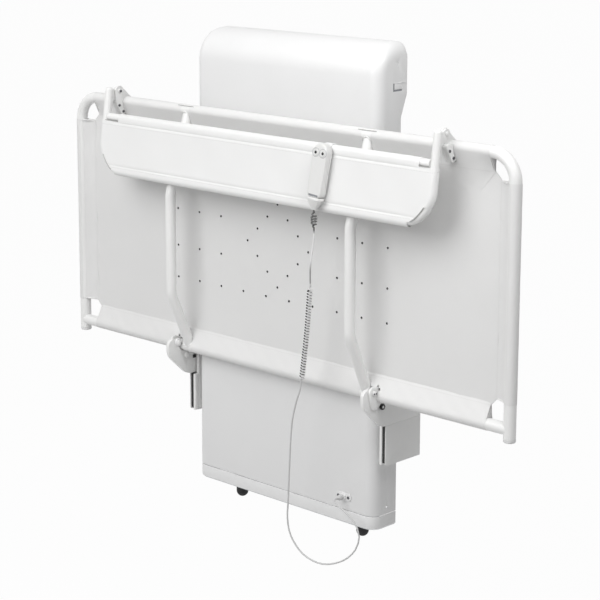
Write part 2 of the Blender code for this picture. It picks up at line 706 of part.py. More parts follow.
def build_carriage():
    half = BRACKET_X - GAP
    middle = BEAM_Y + BEAM_D / 2
    frame = [rectangle(BEAM_D, BEAM_H, (middle, BEAM_Z)),
             rectangle(BEAM_D - 2 * BEAM_WALL, BEAM_H - 2 * BEAM_WALL, (middle, BEAM_Z))]
    add("carriage_beam", plate("carriage_beam", frame, 2 * half), WHITE_PAINT, CARRIAGE, ACROSS_X)
    front = COLUMN_Y - COLUMN / 2 - GAP - BLOCK_WALL
    wide = COLUMN + 2 * GAP + 2 * BLOCK_WALL
    ring = [rectangle(wide, BLOCK_Y - front, (0, (front + BLOCK_Y) / 2)),
            rectangle(COLUMN + 2 * GAP, COLUMN + 2 * GAP, (0, COLUMN_Y))]
    for name, side in (("slide_block_left", -1), ("slide_block_right", 1)):
        add(name, plate(name, ring, BLOCK_H), GREY_PLASTIC, CARRIAGE,
            Matrix.Translation((side * COLUMN_X, 0, BEAM_Z)))
    housing = block_mesh("lift_motor", (-MOTOR_W / 2, COLUMN_Y - COLUMN / 2, BEAM_Z - MOTOR_H / 2),
                         (MOTOR_W / 2, BLOCK_Y, BEAM_Z + MOTOR_H / 2))
    motor = add("lift_motor", housing, GREY_PLASTIC, CARRIAGE)
    barrel = cylinder_mesh("motor_barrel", MOTOR_BARREL_D, MOTOR_BARREL_L, 24)
    boolean(motor, scratch("motor_barrel", barrel, along_x((-MOTOR_BARREL_L / 2 - MOTOR_W / 4, COLUMN_Y, BEAM_Z), 1)),
            "UNION")
    bore = cylinder_mesh("motor_bore", SPINDLE_D + 2 * GAP, 2 * MOTOR_H, 16)
    boolean(motor, scratch("motor_bore", bore, Matrix.Translation((0, COLUMN_Y, BEAM_Z))))


def build_brackets():
    inner = BRACKET_X + BRACKET_INNER_T
    outer, face = BRACKET_FACE - BRACKET_OUTER_T, BRACKET_FACE
    front, back = BED_Y + BRACKET_FRONT, BED_Y + BRACKET_BACK
    step, web = front + BRACKET_STEP, back - BRACKET_WEB
    channel = [(BRACKET_X, back), (BRACKET_X, step), (inner, step), (inner, web), (outer, web), (outer, front),
               (face, front), (face, back)]
    low, top = BED_LOW + BRACKET_LOW, BED_LOW + BRACKET_TOP
    side_view = rounded([(front - 0.01, top + 0.01), (front - 0.01, low), (back + 0.01, low), (back + 0.01, top + 0.01)],
                        [0, BRACKET_R + 0.01, BRACKET_R, 0], True)
    for name, side in (("side_bracket_left", -1), ("side_bracket_right", 1)):
        outline = [(side * x, y) for x, y in channel]
        mesh = plate(name, [outline], top - low)
        piece = add(name, mesh, WHITE_PAINT, CARRIAGE, Matrix.Translation((0, 0, (top + low) / 2)))
        trim = plate(name + "_trim", [side_view], 0.1)
        place = Matrix.Translation((side * BRACKET_X, 0, 0)) @ ACROSS_X
        boolean(piece, scratch(name + "_trim", trim, place), "INTERSECT")
        near, far = sorted((side * (outer - GAP), side * (face + 0.01)))
        seat = block_mesh(name + "_seat", (near, front - 0.01, PIVOT.z - NOSE_DROP - GAP), (far, web, top + 0.01))
        boolean(piece, scratch(name + "_seat", seat))


def hinge_plate_outline():
    y, z = PIVOT.y, PIVOT.z
    back = BED_Y + BRACKET_BACK - BRACKET_WEB - GAP
    top = BED_LOW + BRACKET_TOP - GAP
    nose = rounded([(back, top), (back, z - NOSE_DROP), (y + NOSE_FWD, z - NOSE_DROP), (y - NOSE_FWD, z - NOSE_FWD),
                    (y - NOSE_FWD, z + NOSE_FWD / 2), (y - PIVOT_EDGE, z + PIVOT_EDGE)],
                   [0, 0.004, 0.05, 0.045, NOSE_FWD / 2, 0], False, 5)
    boss = [(y + PIVOT_EDGE * math.sin(math.radians(angle)), z + PIVOT_EDGE * math.cos(math.radians(angle)))
            for angle in (0, 30, 60)]
    hollow = []
    for angle in range(160, 341, 20):
        turn = math.radians(angle)
        hollow.append((BED_Y + NOTCH_R * math.cos(turn), CROSSBAR_Z + NOTCH_R * math.sin(turn)))
    return [*[(point.x, point.y) for point in nose], *boss, *hollow, (BED_Y + NOTCH_R, top)]


def build_hinges():
    tube = (BED_Y, CROSSBAR_Z)
    pivot = (PIVOT.y, PIVOT.z)
    foot = (PIVOT.y + 0.005, PIVOT.z - LUG_FOOT_DROP)
    stop = (PIVOT.y + STOP_BACK, PIVOT.z - STOP_DROP)
    for word, side in (("left", -1), ("right", 1)):
        middle = side * (HINGE_PLATE_X + HINGE_PLATE_T / 2)
        outlines = [hinge_plate_outline(), circle(pivot, PIVOT_PIN_D / 2 + GAP), circle(stop, STOP_PIN_D / 2 + GAP)]
        name = f"hinge_plate_{word}"
        add(name, plate(name, outlines, HINGE_PLATE_T), WHITE_PAINT, CARRIAGE,
            Matrix.Translation((middle, 0, 0)) @ ACROSS_X)
        name = f"hinge_lug_{word}"
        outlines = [hull([(pivot, LUG_R), (tube, LUG_TUBE_R), (foot, LUG_FOOT_R)]),
                    circle(pivot, PIVOT_PIN_D / 2 + GAP), circle(tube, TUBE_R + GAP, 24)]
        add(name, plate(name, outlines, LUG_T), WHITE_PAINT, BED,
            Matrix.Translation((side * (LUG_X + LUG_T / 2), 0, 0)) @ ACROSS_X)
        length = HINGE_PLATE_T + GAP + LUG_T + 2 * GAP
        head, pin, cap = PIVOT_HEAD_D / 2, PIVOT_PIN_D / 2, CAP_D / 2
        inside = [(radius, -height) for radius, height in dome(cap, CAP_T, 0)[::-1]]
        profile = [*dome(head, PIVOT_HEAD_T, length), (pin, length), (pin, 0), *inside]
        profile[-1] = (0, -CAP_T)
        turned(f"pivot_bolt_{word}", profile, WHITE_PAINT, BED,
               along_x((side * (HINGE_PLATE_X - GAP), PIVOT.y, PIVOT.z), side))
        shank = HINGE_PLATE_T + 3 * GAP + STOP_NUT_T
        pin, head = STOP_PIN_D / 2, STOP_HEAD_D / 2
        profile = [(0, shank), (pin, shank), (pin, 0), (head, 0), (head, -STOP_HEAD_T * 0.6), (head * 0.7, -STOP_HEAD_T),
                   (0, -STOP_HEAD_T)]
        turned(f"stop_bolt_{word}", profile, WHITE_PAINT, CARRIAGE,
               along_x((side * (HINGE_PLATE_X - GAP), *stop), side))
        name = f"stop_nut_{word}"
        outlines = [circle(stop, STOP_NUT_D / 2, 6), circle(stop, pin + GAP)]
        add(name, plate(name, outlines, STOP_NUT_T), BLACK_RUBBER, CARRIAGE,
            Matrix.Translation((side * (BRACKET_FACE + GAP + STOP_NUT_T / 2), 0, 0)) @ ACROSS_X)


def build_bed_frame():
    end = BED_LOW + PLUG_H + GAP
    path = rounded([(-POST_X, BED_Y, end), (-POST_X, BED_Y, RAIL_Z), (POST_X, BED_Y, RAIL_Z), (POST_X, BED_Y, end)],
                   CORNER_R, steps=6)
    pipe("bed_frame", path, TUBE_D, TUBE_WALL, WHITE_PAINT, BED)
    reach = POST_X - TUBE_R - GAP
    bar = [(-reach, BED_Y, CROSSBAR_Z), (reach, BED_Y, CROSSBAR_Z)]
    pipe("crossbar", bar, TUBE_D, TUBE_WALL, WHITE_PAINT, BED)
    bore = TUBE_R - TUBE_WALL - 2 * GAP
    for name, side in (("post_plug_left", -1), ("post_plug_right", 1)):
        profile = [(0, PLUG_H + PLUG_SPIGOT), (bore, PLUG_H + PLUG_SPIGOT), (bore, PLUG_H), (TUBE_R, PLUG_H),
                   (TUBE_R, 0.003), (TUBE_R - 0.003, 0), (0, 0)]
        turned(name, profile, WHITE_SHELL, BED, Matrix.Translation((side * POST_X, BED_Y, BED_LOW)))


def build_arms():
    straight = BED_Y - ARM_FWD
    for name, side in (("arm_left", -1), ("arm_right", 1)):
        x = side * ARM_X
        path = rounded([(x, BED_Y, RAIL_Z), (x, straight, BED_LOW + ARM_HIGH), (x, straight, BED_LOW + ARM_LOW),
                        (x, BED_Y, CROSSBAR_Z)], ARM_BEND, steps=4)
        arm = pipe(name, path, ARM_D, ARM_WALL, WHITE_PAINT, BED)
        for word, height in (("rail", RAIL_Z), ("crossbar", CROSSBAR_Z)):
            round_end = cylinder_mesh(f"{name}_{word}", TUBE_D + 2 * GAP, 4 * ARM_D, 32)
            boolean(arm, scratch(f"{name}_{word}", round_end, along_x((x, BED_Y, height), 1)))


def sleeve_profile(radius, tip, tip_t):
    shoulder = math.radians(70)
    arc = []
    for step in range(11):
        angle = shoulder + (math.tau - 2 * shoulder) * step / 10
        arc.append((radius * math.cos(angle), radius * math.sin(angle)))
    return [*arc, (tip, SHEET_BACK - tip_t / 2), (tip, SHEET_BACK + tip_t / 2)]


def sleeve(name, length, place):
    bore = TUBE_R + 2 * GAP
    outer = sleeve_profile(bore + SLEEVE_T, SEAM, SEAM_T)
    inner = sleeve_profile(bore, SEAM - 0.012, 0.0004)
    return scratch(name, plate(name, [outer, inner], length), place)


def drain_holes():
    places = []
    for row in (-HOLE_ROW_FAR, HOLE_ROW_FAR):
        places += [((column + 0.5) * HOLE_PITCH, row) for column in range(-5, 5)]
    for row in (-HOLE_ROW_NEAR, HOLE_ROW_NEAR):
        places += [((column + 0.5) * HOLE_PITCH, row) for column in (-5, -4, -3, 2, 3, 4)]
    for step in range(12):
        across = abs((step + 3) % 12 - 6) - 3
        up = abs(step - 6) - 3
        places.append((across * DIAMOND_STEP, up * DIAMOND_STEP))
    return places


def build_sheet():
    low, high = CROSSBAR_Z + SEAM - 0.006, RAIL_Z - SEAM + 0.006
    side = POST_X - SEAM + 0.006
    middle = (CROSSBAR_Z + RAIL_Z) / 2
    cut_x, cut_low, cut_high = POST_X - SLEEVE_END, CROSSBAR_Z + SLEEVE_END, RAIL_Z - CORNER_R
    cut_rail = POST_X - CORNER_R
    panel = [(-cut_x, low), (cut_x, low), (side, cut_low), (side, cut_high), (cut_rail, high), (-cut_rail, high),
             (-side, cut_high), (-side, cut_low)]
    flat = Matrix.Translation((0, BED_Y + SHEET_BACK, 0)) @ ACROSS_Y
    sheet = add("bed_sheet", plate("bed_sheet", [panel], SHEET_T), SHEET_CLOTH, BED, flat)
    punches = bpy.data.meshes.new("drain_punches")
    work = bmesh.new()
    for x, z in drain_holes():
        bmesh.ops.create_cone(work, cap_ends=True, segments=6, radius1=HOLE_D / 2, radius2=HOLE_D / 2,
                              depth=4 * SHEET_T, matrix=Matrix.Translation((x, middle + z, 0)))
    work.to_mesh(punches)
    work.free()
    boolean(sheet, scratch("drain_punches", punches, flat))
    tall, centre = cut_high - cut_low, (cut_high + cut_low) / 2
    for word, turn, x, z, length in (("left", 0, -POST_X, centre, tall), ("low", -90, 0, CROSSBAR_Z, 2 * cut_x),
                                     ("right", 180, POST_X, centre, tall), ("rail", 90, 0, RAIL_Z, 2 * cut_rail)):
        place = Matrix.Translation((x, BED_Y, z)) @ Matrix.Rotation(math.radians(turn), 4, "Y")
        boolean(sheet, sleeve("sleeve_" + word, length, place), "UNION")
    wide, deep = 2 * TUBE_R, SEAM - NOTCH_TIP
    arm = ARM_D / 2 + NOTCH_SIDE
    for side in (-1, 1):
        for word, near, far, height, drop, lift in (
                ("hinge", ARM_X - arm, LUG_X + LUG_T + PIVOT_HEAD_T + NOTCH_SIDE, CROSSBAR_Z, wide, deep),
                ("clamp", CLAMP_X - NOTCH_SIDE, CLAMP_X + CLAMP_T + NOTCH_SIDE, RAIL_Z, deep, wide),
                ("arm", ARM_X - arm, ARM_X + arm, RAIL_Z, deep, wide)):
            low_x, high_x = sorted((side * near, side * far))
            name = f"{word}_notch_{side + 1}"
            notch = block_mesh(name, (low_x, BED_Y - 0.06, height - drop), (high_x, BED_Y + 0.06, height + lift))
            boolean(sheet, scratch(name, notch))


def build_clamps():
    rail, pivot = (BED_Y, RAIL_Z), (GUARD_AXIS.y, GUARD_AXIS.z)
    foot = (BED_Y - CLAMP_FOOT_FWD, RAIL_Z - CLAMP_FOOT_DROP)
    body = hull([(rail, CLAMP_R), (pivot, CLAMP_NOSE_R), (foot, CLAMP_FOOT_R)])
    holes = [circle(rail, TUBE_R + GAP, 24), circle(pivot, GUARD_PIN_D / 2 + GAP)]
    for name, side in (("rail_clamp_left", -1), ("rail_clamp_right", 1)):
        add(name, plate(name, [body, *holes], CLAMP_T), WHITE_PAINT, BED,
            Matrix.Translation((side * (CLAMP_X + CLAMP_T / 2), 0, 0)) @ ACROSS_X)


def build_guard_rail():
    path = rounded([(-GUARD_X, 0, LEG_ABOVE), (-GUARD_X, 0, -GUARD_H), (GUARD_X, 0, -GUARD_H), (GUARD_X, 0, LEG_ABOVE)],
                   GUARD_CORNER, steps=4)
    pipe("guard_frame", path, GUARD_TUBE_D, GUARD_WALL, WHITE_PAINT, GUARD, GUARD_PLACE)
    reach = GUARD_X - GUARD_R - GAP
    pipe("guard_top_tube", [(-reach, 0, 0), (reach, 0, 0)], GUARD_TUBE_D, GUARD_WALL, WHITE_PAINT, GUARD, GUARD_PLACE)
    pivot = GUARD_PLACE.inverted() @ GUARD_AXIS
    joint = (pivot.y, pivot.z)
    rear = GUARD_R + GAP
    body = hull([(joint, LEVER_R), ((rear, LEVER_LOW), 0), ((rear, LEG_ABOVE), 0)])
    hole = circle(joint, GUARD_PIN_D / 2 + GAP)
    for word, side in (("left", -1), ("right", 1)):
        name = f"guard_lever_{word}"
        add(name, plate(name, [body, hole], LEVER_T), WHITE_PAINT, GUARD,
            GUARD_PLACE @ Matrix.Translation((side * (LEVER_X + LEVER_T / 2), 0, 0)) @ ACROSS_X)
        cap = [*dome(GUARD_R, LEG_CAP, LEG_ABOVE + GAP), (0, LEG_ABOVE + GAP)]
        turned(f"leg_cap_{word}", cap, WHITE_PAINT, GUARD, GUARD_PLACE @ Matrix.Translation((side * GUARD_X, 0, 0)))
        length = CLAMP_T + GAP + LEVER_T + 2 * GAP
        head, pin = GUARD_PIN_HEAD_D / 2, GUARD_PIN_D / 2
        inside = [(radius, -height) for radius, height in dome(head, GUARD_PIN_HEAD_T, 0)[::-1]]
        profile = [*dome(head, GUARD_PIN_HEAD_T, length), (pin, length), (pin, 0), *inside]
        profile[-1] = (0, -GUARD_PIN_HEAD_T)
        turned(f"guard_pin_{word}", profile, BARE_STEEL, GUARD,
               along_x((side * (CLAMP_X - GAP), GUARD_AXIS.y, GUARD_AXIS.z), side))


def panel_form(name, radius):
    section = hull([((0, 0), radius), ((0, -GUARD_H), radius)], 20)
    return plate(name, [section], 2 * (GUARD_X + 2 * radius))


def close_ends(case, radius):
    name = case.name + "_ends"
    plan = hull([((-GUARD_X, 0), radius), ((GUARD_X, 0), radius)], 20)
    ends = plate(name, [plan], 2 * (GUARD_H + 2 * radius))
    boolean(case, scratch(name, ends, GUARD_PLACE), "INTERSECT")


def build_panel():
    place, bore = GUARD_PLACE @ ACROSS_X, GUARD_R + GAP
    panel = add("guard_panel", panel_form("guard_panel", PANEL_R), PANEL_CLOTH, GUARD, place)
    close_ends(panel, PANEL_R)
    inside = scratch("panel_inside", panel_form("panel_inside", bore), place)
    close_ends(inside, bore)
    boolean(panel, inside)
    past, foot, top = GUARD_X + 2 * PANEL_R, -GUARD_H - 2 * PANEL_R, 2 * PANEL_R
    curve = []
    for step in range(7):
        share = step / 6
        curve.append((GUARD_X - PANEL_CUT_FLAT - (PANEL_CUT_W - PANEL_CUT_FLAT) * share,
                      -GUARD_H + PANEL_CUT_H * (1 - share) ** 1.7))
    corner = [(past, foot), (past, -GUARD_H + PANEL_CUT_H), *curve, (GUARD_X - PANEL_CUT_W, foot)]
    for side in (-1, 1):
        name = f"panel_corner_{side + 1}"
        outline = [(side * x, z) for x, z in corner]
        boolean(panel, scratch(name, solid_plate(name, outline, 0.2), GUARD_PLACE @ ACROSS_Y))
        near, far = sorted((side * (GUARD_X - PANEL_SLOT_W), side * past))
        name = f"panel_slot_{side + 1}"
        boolean(panel, scratch(name, block_mesh(name, (near, -top, -PANEL_SLOT_H), (far, top, top)), GUARD_PLACE))


def build_handset():
    half, foot = HAND_W / 2, HAND_FOOT_W / 2
    arch = [(half * math.cos(math.pi * step / 12), half * math.sin(math.pi * step / 12)) for step in range(13)]
    tail = rounded([arch[-1], (-foot, -HAND_L), (foot, -HAND_L), arch[0]], foot * 0.5, steps=4)
    outline = [*arch, *[(point.x, point.y) for point in tail[1:-1]]]
    shell = add("handset", plate("handset", [outline], HAND_T), WHITE_SHELL, GUARD, HAND_PLACE @ ACROSS_Y)
    edges = shell.modifiers.new("edges", "BEVEL")
    edges.width = HAND_EDGE
    edges.segments = 2
    edges.limit_method = "ANGLE"
    edges.angle_limit = math.radians(60)
    forward = Matrix.Rotation(math.pi / 2, 4, "X")
    front = -HAND_T / 2
    for name, side in (("button_up", -1), ("button_down", 1)):
        centre = HAND_PLACE @ Matrix.Translation((side * BUTTON_PITCH / 2, front, 0))
        well = cylinder_mesh(name + "_well", BUTTON_D + 2 * GAP, 2 * BUTTON_WELL, 20)
        boolean(shell, scratch(name + "_well", well, centre @ forward))
        radius = BUTTON_D / 2
        profile = [(0, BUTTON_PROUD), (radius * 0.55, BUTTON_PROUD), (radius * 0.9, BUTTON_PROUD * 0.6), (radius, 0),
                   (radius, -BUTTON_BODY), (0, -BUTTON_BODY)]
        turned(name, profile, WHITE_SHELL, GUARD, centre @ forward)
    inner, outer = PANEL_R + GAP, PANEL_R + GAP + HOOK_T
    arc = [math.pi * step / 12 for step in range(13)]
    bend_out = [(-outer * math.cos(turn), outer * math.sin(turn)) for turn in arc]
    bend_in = [(inner * math.cos(turn), inner * math.sin(turn)) for turn in arc]
    hook = [(-outer, -2 * HOOK_LEG), *bend_out, (outer, -HOOK_LEG), (inner, -HOOK_LEG), *bend_in, (-inner, -2 * HOOK_LEG)]
    add("handset_hook", plate("handset_hook", [hook], HOOK_W), WHITE_SHELL, GUARD,
        GUARD_PLACE @ Matrix.Translation((HAND_X, 0, 0)) @ ACROSS_X)
    top, end = BOOT_TOP_D / 2, BOOT_END_D / 2
    profile = [(0, -HAND_L - GAP), (top, -HAND_L - GAP), (top, -HAND_L - 0.25 * BOOT_L), (end, -HAND_L - BOOT_L),
               (0, -HAND_L - BOOT_L)]
    turned("strain_relief", profile, WHITE_SHELL, GUARD, HAND_PLACE @ Matrix.Diagonal((1, BOOT_FLAT, 1, 1)))


def above_posts(points):
    return [Vector((x, y, z + BED_LOW)) for x, y, z in points]


def build_cord():
    start = HAND_PLACE @ Vector((0, 0, -HAND_L - BOOT_L - GAP))
    down = (HAND_PLACE.to_3x3() @ Vector((0, 0, -1))).normalized()
    loose_end = start + down * LOOSE_L
    lead = above_posts([*LEAD_ROUTE, COIL_TOP])
    curls = curled([start, loose_end], LOOSE_CURLS, LOOSE_R)
    stretch = smooth_route([curls[-1], *lead], 0.012)
    coil_top, coil_middle, coil_low = above_posts([COIL_TOP, COIL_MIDDLE, COIL_LOW])
    spine = smooth_route([coil_top, coil_middle, coil_low], 0.02)
    coil = curled(spine, TIGHT_CURLS, TIGHT_R)
    plug_end = Vector((SOCKET_X, PLUG_Y - PLUG_BODY_L, SOCKET_Z))
    straight = plug_end - Vector((0, 1.5 * CORD_D, 0))
    route = [*above_posts([COIL_LOW, *DROP_ROUTE, LOOP_LOW, *TAIL_ROUTE]), straight, plug_end]
    hanging = smooth_route(route, 0.018)
    loop_low = above_posts([LOOP_LOW])[0]
    split = min(range(len(hanging)), key=lambda index: (hanging[index] - loop_low).length)
    reach = [0.0]
    for first, second in zip(hanging, hanging[1:]):
        reach.append(reach[-1] + (second - first).length)
    held = min(range(1, split), key=lambda index: abs(reach[index] - COIL_TAIL))
    coil, drop, tail = coil + hanging[1:held + 1], hanging[held:split + 1], hanging[split:]
    for name, path, parent, resolution in (("cord_lead", curls + stretch[1:], GUARD, 1), ("cord_coil", coil, BED, 1),
                                           ("cord_drop", drop, CARRIAGE, 1), ("cord_tail", tail, TOWER, 1)):
        path = stretched(path, -GAP)
        add(name, rod(name, path, CORD_D, resolution), CORD_GREY, parent)
    print("least gap of the tight coil to itself", round(least_gap(coil[:-held]), 5))
    print("least gap of the loose curls to themselves", round(least_gap(curls), 5))


build_skirt()
build_front_cover()
build_hood()
build_feet()
build_inner_frame()
build_wall_plates()
build_control_box()
build_socket()
build_carriage()
build_brackets()
build_hinges()
build_bed_frame()
build_arms()
build_sheet()
build_clamps()
build_guard_rail()
build_panel()
build_handset()
build_cord()
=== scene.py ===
import json
import math

import bmesh
import bpy
from mathutils import Matrix, Vector

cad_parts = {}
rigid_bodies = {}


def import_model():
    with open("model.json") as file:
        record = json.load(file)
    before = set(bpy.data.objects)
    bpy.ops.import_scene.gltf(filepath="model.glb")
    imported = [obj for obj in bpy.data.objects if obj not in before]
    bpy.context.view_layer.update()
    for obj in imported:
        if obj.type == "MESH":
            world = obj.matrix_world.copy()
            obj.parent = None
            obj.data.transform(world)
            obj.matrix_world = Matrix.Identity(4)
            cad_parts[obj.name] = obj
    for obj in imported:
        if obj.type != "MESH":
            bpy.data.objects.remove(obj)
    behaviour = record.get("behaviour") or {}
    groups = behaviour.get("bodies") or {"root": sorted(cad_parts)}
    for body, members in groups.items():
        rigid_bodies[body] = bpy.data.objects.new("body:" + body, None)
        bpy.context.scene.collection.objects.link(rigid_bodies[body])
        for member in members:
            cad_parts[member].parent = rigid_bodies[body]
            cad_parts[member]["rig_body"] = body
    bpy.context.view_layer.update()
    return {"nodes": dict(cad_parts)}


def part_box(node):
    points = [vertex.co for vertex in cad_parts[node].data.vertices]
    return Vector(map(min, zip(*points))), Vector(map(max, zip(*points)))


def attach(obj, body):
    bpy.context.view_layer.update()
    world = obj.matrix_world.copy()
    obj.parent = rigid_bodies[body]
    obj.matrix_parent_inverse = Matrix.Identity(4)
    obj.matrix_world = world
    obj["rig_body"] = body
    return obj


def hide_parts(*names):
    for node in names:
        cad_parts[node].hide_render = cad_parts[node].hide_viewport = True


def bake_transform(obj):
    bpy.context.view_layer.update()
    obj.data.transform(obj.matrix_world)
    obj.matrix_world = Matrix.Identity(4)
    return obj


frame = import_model()
nodes = frame["nodes"]
scene = bpy.context.scene
acrossX = Matrix(((0, 0, 1, 0), (1, 0, 0, 0), (0, 1, 0, 0), (0, 0, 0, 1)))  # drawn flat, thick along X
acrossY = Matrix(((1, 0, 0, 0), (0, 0, -1, 0), (0, 1, 0, 0), (0, 0, 0, 1)))  # drawn flat, thick along Y
upright = Matrix.Identity(4)
forward = Matrix.Rotation(math.pi / 2, 4, "X")  # local Z turned to the front
mergeReach = 0.00001  # points closer than this become one
straightHalf = 1.57  # half the angle at a corner that is all but straight
scene.view_settings.view_transform = "Standard"
print("stage: frame loaded,", len(nodes), "nodes")


# modelling helpers, all with the operators of Blender's own tools
def deselect():
    if bpy.context.object and bpy.context.object.mode != "OBJECT":
        bpy.ops.object.mode_set(mode="OBJECT")
    bpy.ops.object.select_all(action="DESELECT")


def choose(*pieces):
    deselect()
    for piece in pieces:
        piece.select_set(True)
    bpy.context.view_layer.objects.active = pieces[0]


def primitive(operator, name, **settings):
    deselect()
    operator(**settings)
    piece = bpy.context.object
    piece.name = name
    bpy.ops.object.transform_apply(location=True, rotation=True, scale=True)
    return piece


def modify(piece, kind, **settings):
    choose(piece)
    step = piece.modifiers.new(kind.lower(), kind)
    for key, value in settings.items():
        setattr(step, key, value)
    bpy.ops.object.modifier_apply(modifier=step.name)
    return piece


def edit(piece, test=None):  # edit mode, with everything or the edges that pass the test selected
    choose(piece)
    bpy.ops.object.mode_set(mode="EDIT")
    bpy.ops.mesh.select_mode(type="EDGE" if test else "VERT")
    bpy.ops.mesh.select_all(action="DESELECT" if test else "SELECT")
    if test:
        mesh = bmesh.from_edit_mesh(piece.data)
        for edge in mesh.edges:
            if test(edge):
                edge.select_set(True)
        mesh.select_flush_mode()
        bmesh.update_edit_mesh(piece.data)


def outward():  # turns the faces of the piece in edit mode outward and leaves edit mode
    bpy.ops.mesh.select_all(action="SELECT")
    bpy.ops.mesh.normals_make_consistent(inside=False)
    bpy.ops.object.mode_set(mode="OBJECT")


def merged(piece):
    edit(piece)
    bpy.ops.mesh.remove_doubles(threshold=mergeReach)
    outward()
    return piece


def smoothed(piece, angle=40):
    choose(piece)
    bpy.ops.object.shade_smooth_by_angle(angle=math.radians(angle))
    return piece


def bevelled(piece, width, steps=3):
    modify(piece, "BEVEL", width=width, segments=steps, limit_method="ANGLE", angle_limit=math.radians(35))
    return smoothed(piece)


def cut(piece, *tools):
    for tool in tools:
        modify(piece, "BOOLEAN", object=tool, operation="DIFFERENCE", solver="EXACT")
        bpy.data.objects.remove(tool)
    return piece


def joined(name, pieces):
    choose(*pieces)
    bpy.ops.object.join()
    pieces[0].name = name
    return pieces[0]


def vectors(points):  # flat points lie at height 0
    return [Vector((*point, 0)) if len(point) == 2 else Vector(point) for point in points]


def rounded(points, bends, steps=8, closed=False):  # the corners of a line turned into arcs
    points = vectors(points)
    path = [] if closed else [points[0]]
    inner = range(len(points)) if closed else range(1, len(points) - 1)
    for index, bend in zip(inner, bends):
        corner, before, after = points[index], points[index - 1], points[(index + 1) % len(points)]
        first, second = (before - corner).normalized(), (after - corner).normalized()
        half = first.angle(second) / 2
        if not bend or half > straightHalf:
            path.append(corner)
            continue
        centre = corner + (first + second).normalized() * bend / math.sin(half)
        start, end = corner + first * bend / math.tan(half), corner + second * bend / math.tan(half)
        axis = (start - centre).cross(end - centre).normalized()
        for step in range(steps + 1):
            turn = Matrix.Rotation((math.pi - 2 * half) * step / steps, 3, axis)
            path.append(centre + turn @ (start - centre))
    return path if closed else [*path, points[-1]]


def plate(name, outline, depth, place=upright):  # a flat outline extruded to both sides
    outline = vectors(outline)
    piece = primitive(bpy.ops.mesh.primitive_circle_add, name, vertices=len(outline), fill_type="NGON")
    for spot, point in zip(piece.data.vertices, outline):
        spot.co = (point.x, point.y, -depth / 2)
    edit(piece)
    bpy.ops.mesh.extrude_region_move(TRANSFORM_OT_translate={"value": (0, 0, depth)})
    outward()
    piece.data.transform(place)
    return piece


def block(name, low, high):
    low, high = Vector(low), Vector(high)
    return primitive(bpy.ops.mesh.primitive_cube_add, name, size=1, location=(low + high) / 2, scale=high - low)


def grid(name, columns, rows):
    return primitive(bpy.ops.mesh.primitive_grid_add, name, x_subdivisions=columns, y_subdivisions=rows, size=2)


def cell(spot, columns, rows):  # the column and row of a grid's point
    return round((spot.co.x + 1) / 2 * columns), round((spot.co.y + 1) / 2 * rows)


def torus(name, radius, thin, around, across, place):
    piece = primitive(bpy.ops.mesh.primitive_torus_add, name, major_radius=radius, minor_radius=thin,
                      major_segments=around, minor_segments=across)
    piece.data.transform(place)
    return smoothed(piece)


def disc(name, wide, depth, place=upright, sides=32):
    piece = primitive(bpy.ops.mesh.primitive_cylinder_add, name, vertices=sides, radius=wide / 2, depth=depth)
    piece.data.transform(place)
    return piece


def turned(name, profile, place=upright, steps=40):  # (radius, height) points spun round the local Z
    piece = primitive(bpy.ops.mesh.primitive_circle_add, name, vertices=len(profile), fill_type="NOTHING")
    for spot, (radius, height) in zip(piece.data.vertices, profile):
        spot.co = (radius, 0, height)
    edit(piece)
    bpy.ops.mesh.spin(steps=steps, angle=math.tau, center=(0, 0, 0), axis=(0, 0, 1))
    merged(piece).data.transform(place)
    return smoothed(piece)


def tube(name, path, wide, sides=24, caps=True):
    deselect()
    bpy.ops.curve.primitive_nurbs_path_add()
    line = bpy.context.object
    line.data.splines.clear()
    spline = line.data.splines.new("POLY")
    spline.points.add(len(path) - 1)
    for spot, point in zip(spline.points, path):
        spot.co = (*point, 1)
    line.data.bevel_depth, line.data.bevel_resolution = wide / 2, sides // 2 - 2
    line.data.use_fill_caps = caps
    line.matrix_world = upright
    bpy.ops.object.convert(target="MESH")
    piece = bpy.context.object
    piece.name = name
    return smoothed(merged(piece))


def at(*place):
    return Matrix.Translation(place)


def sided(side, *places):  # x on one side of the part, the lower one first
    return sorted(side * x for x in places)


def alongX(place, side=1):
    return at(*place) @ Matrix.Rotation(side * math.pi / 2, 4, "Y")


def dome(radius, height, base, steps=8):  # profile of a rounded head, from its top to its rim
    return [(radius * math.sin(math.pi / 2 * step / steps), base + height * math.cos(math.pi / 2 * step / steps))
            for step in range(steps + 1)]


def settled(piece, finish, body, *replaced, slot=None):  # the slot argument is not used
    piece.data.materials.clear()
    piece.data.materials.append(finish)
    if body:
        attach(piece, body)
    if replaced:
        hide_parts(*replaced)
    return piece


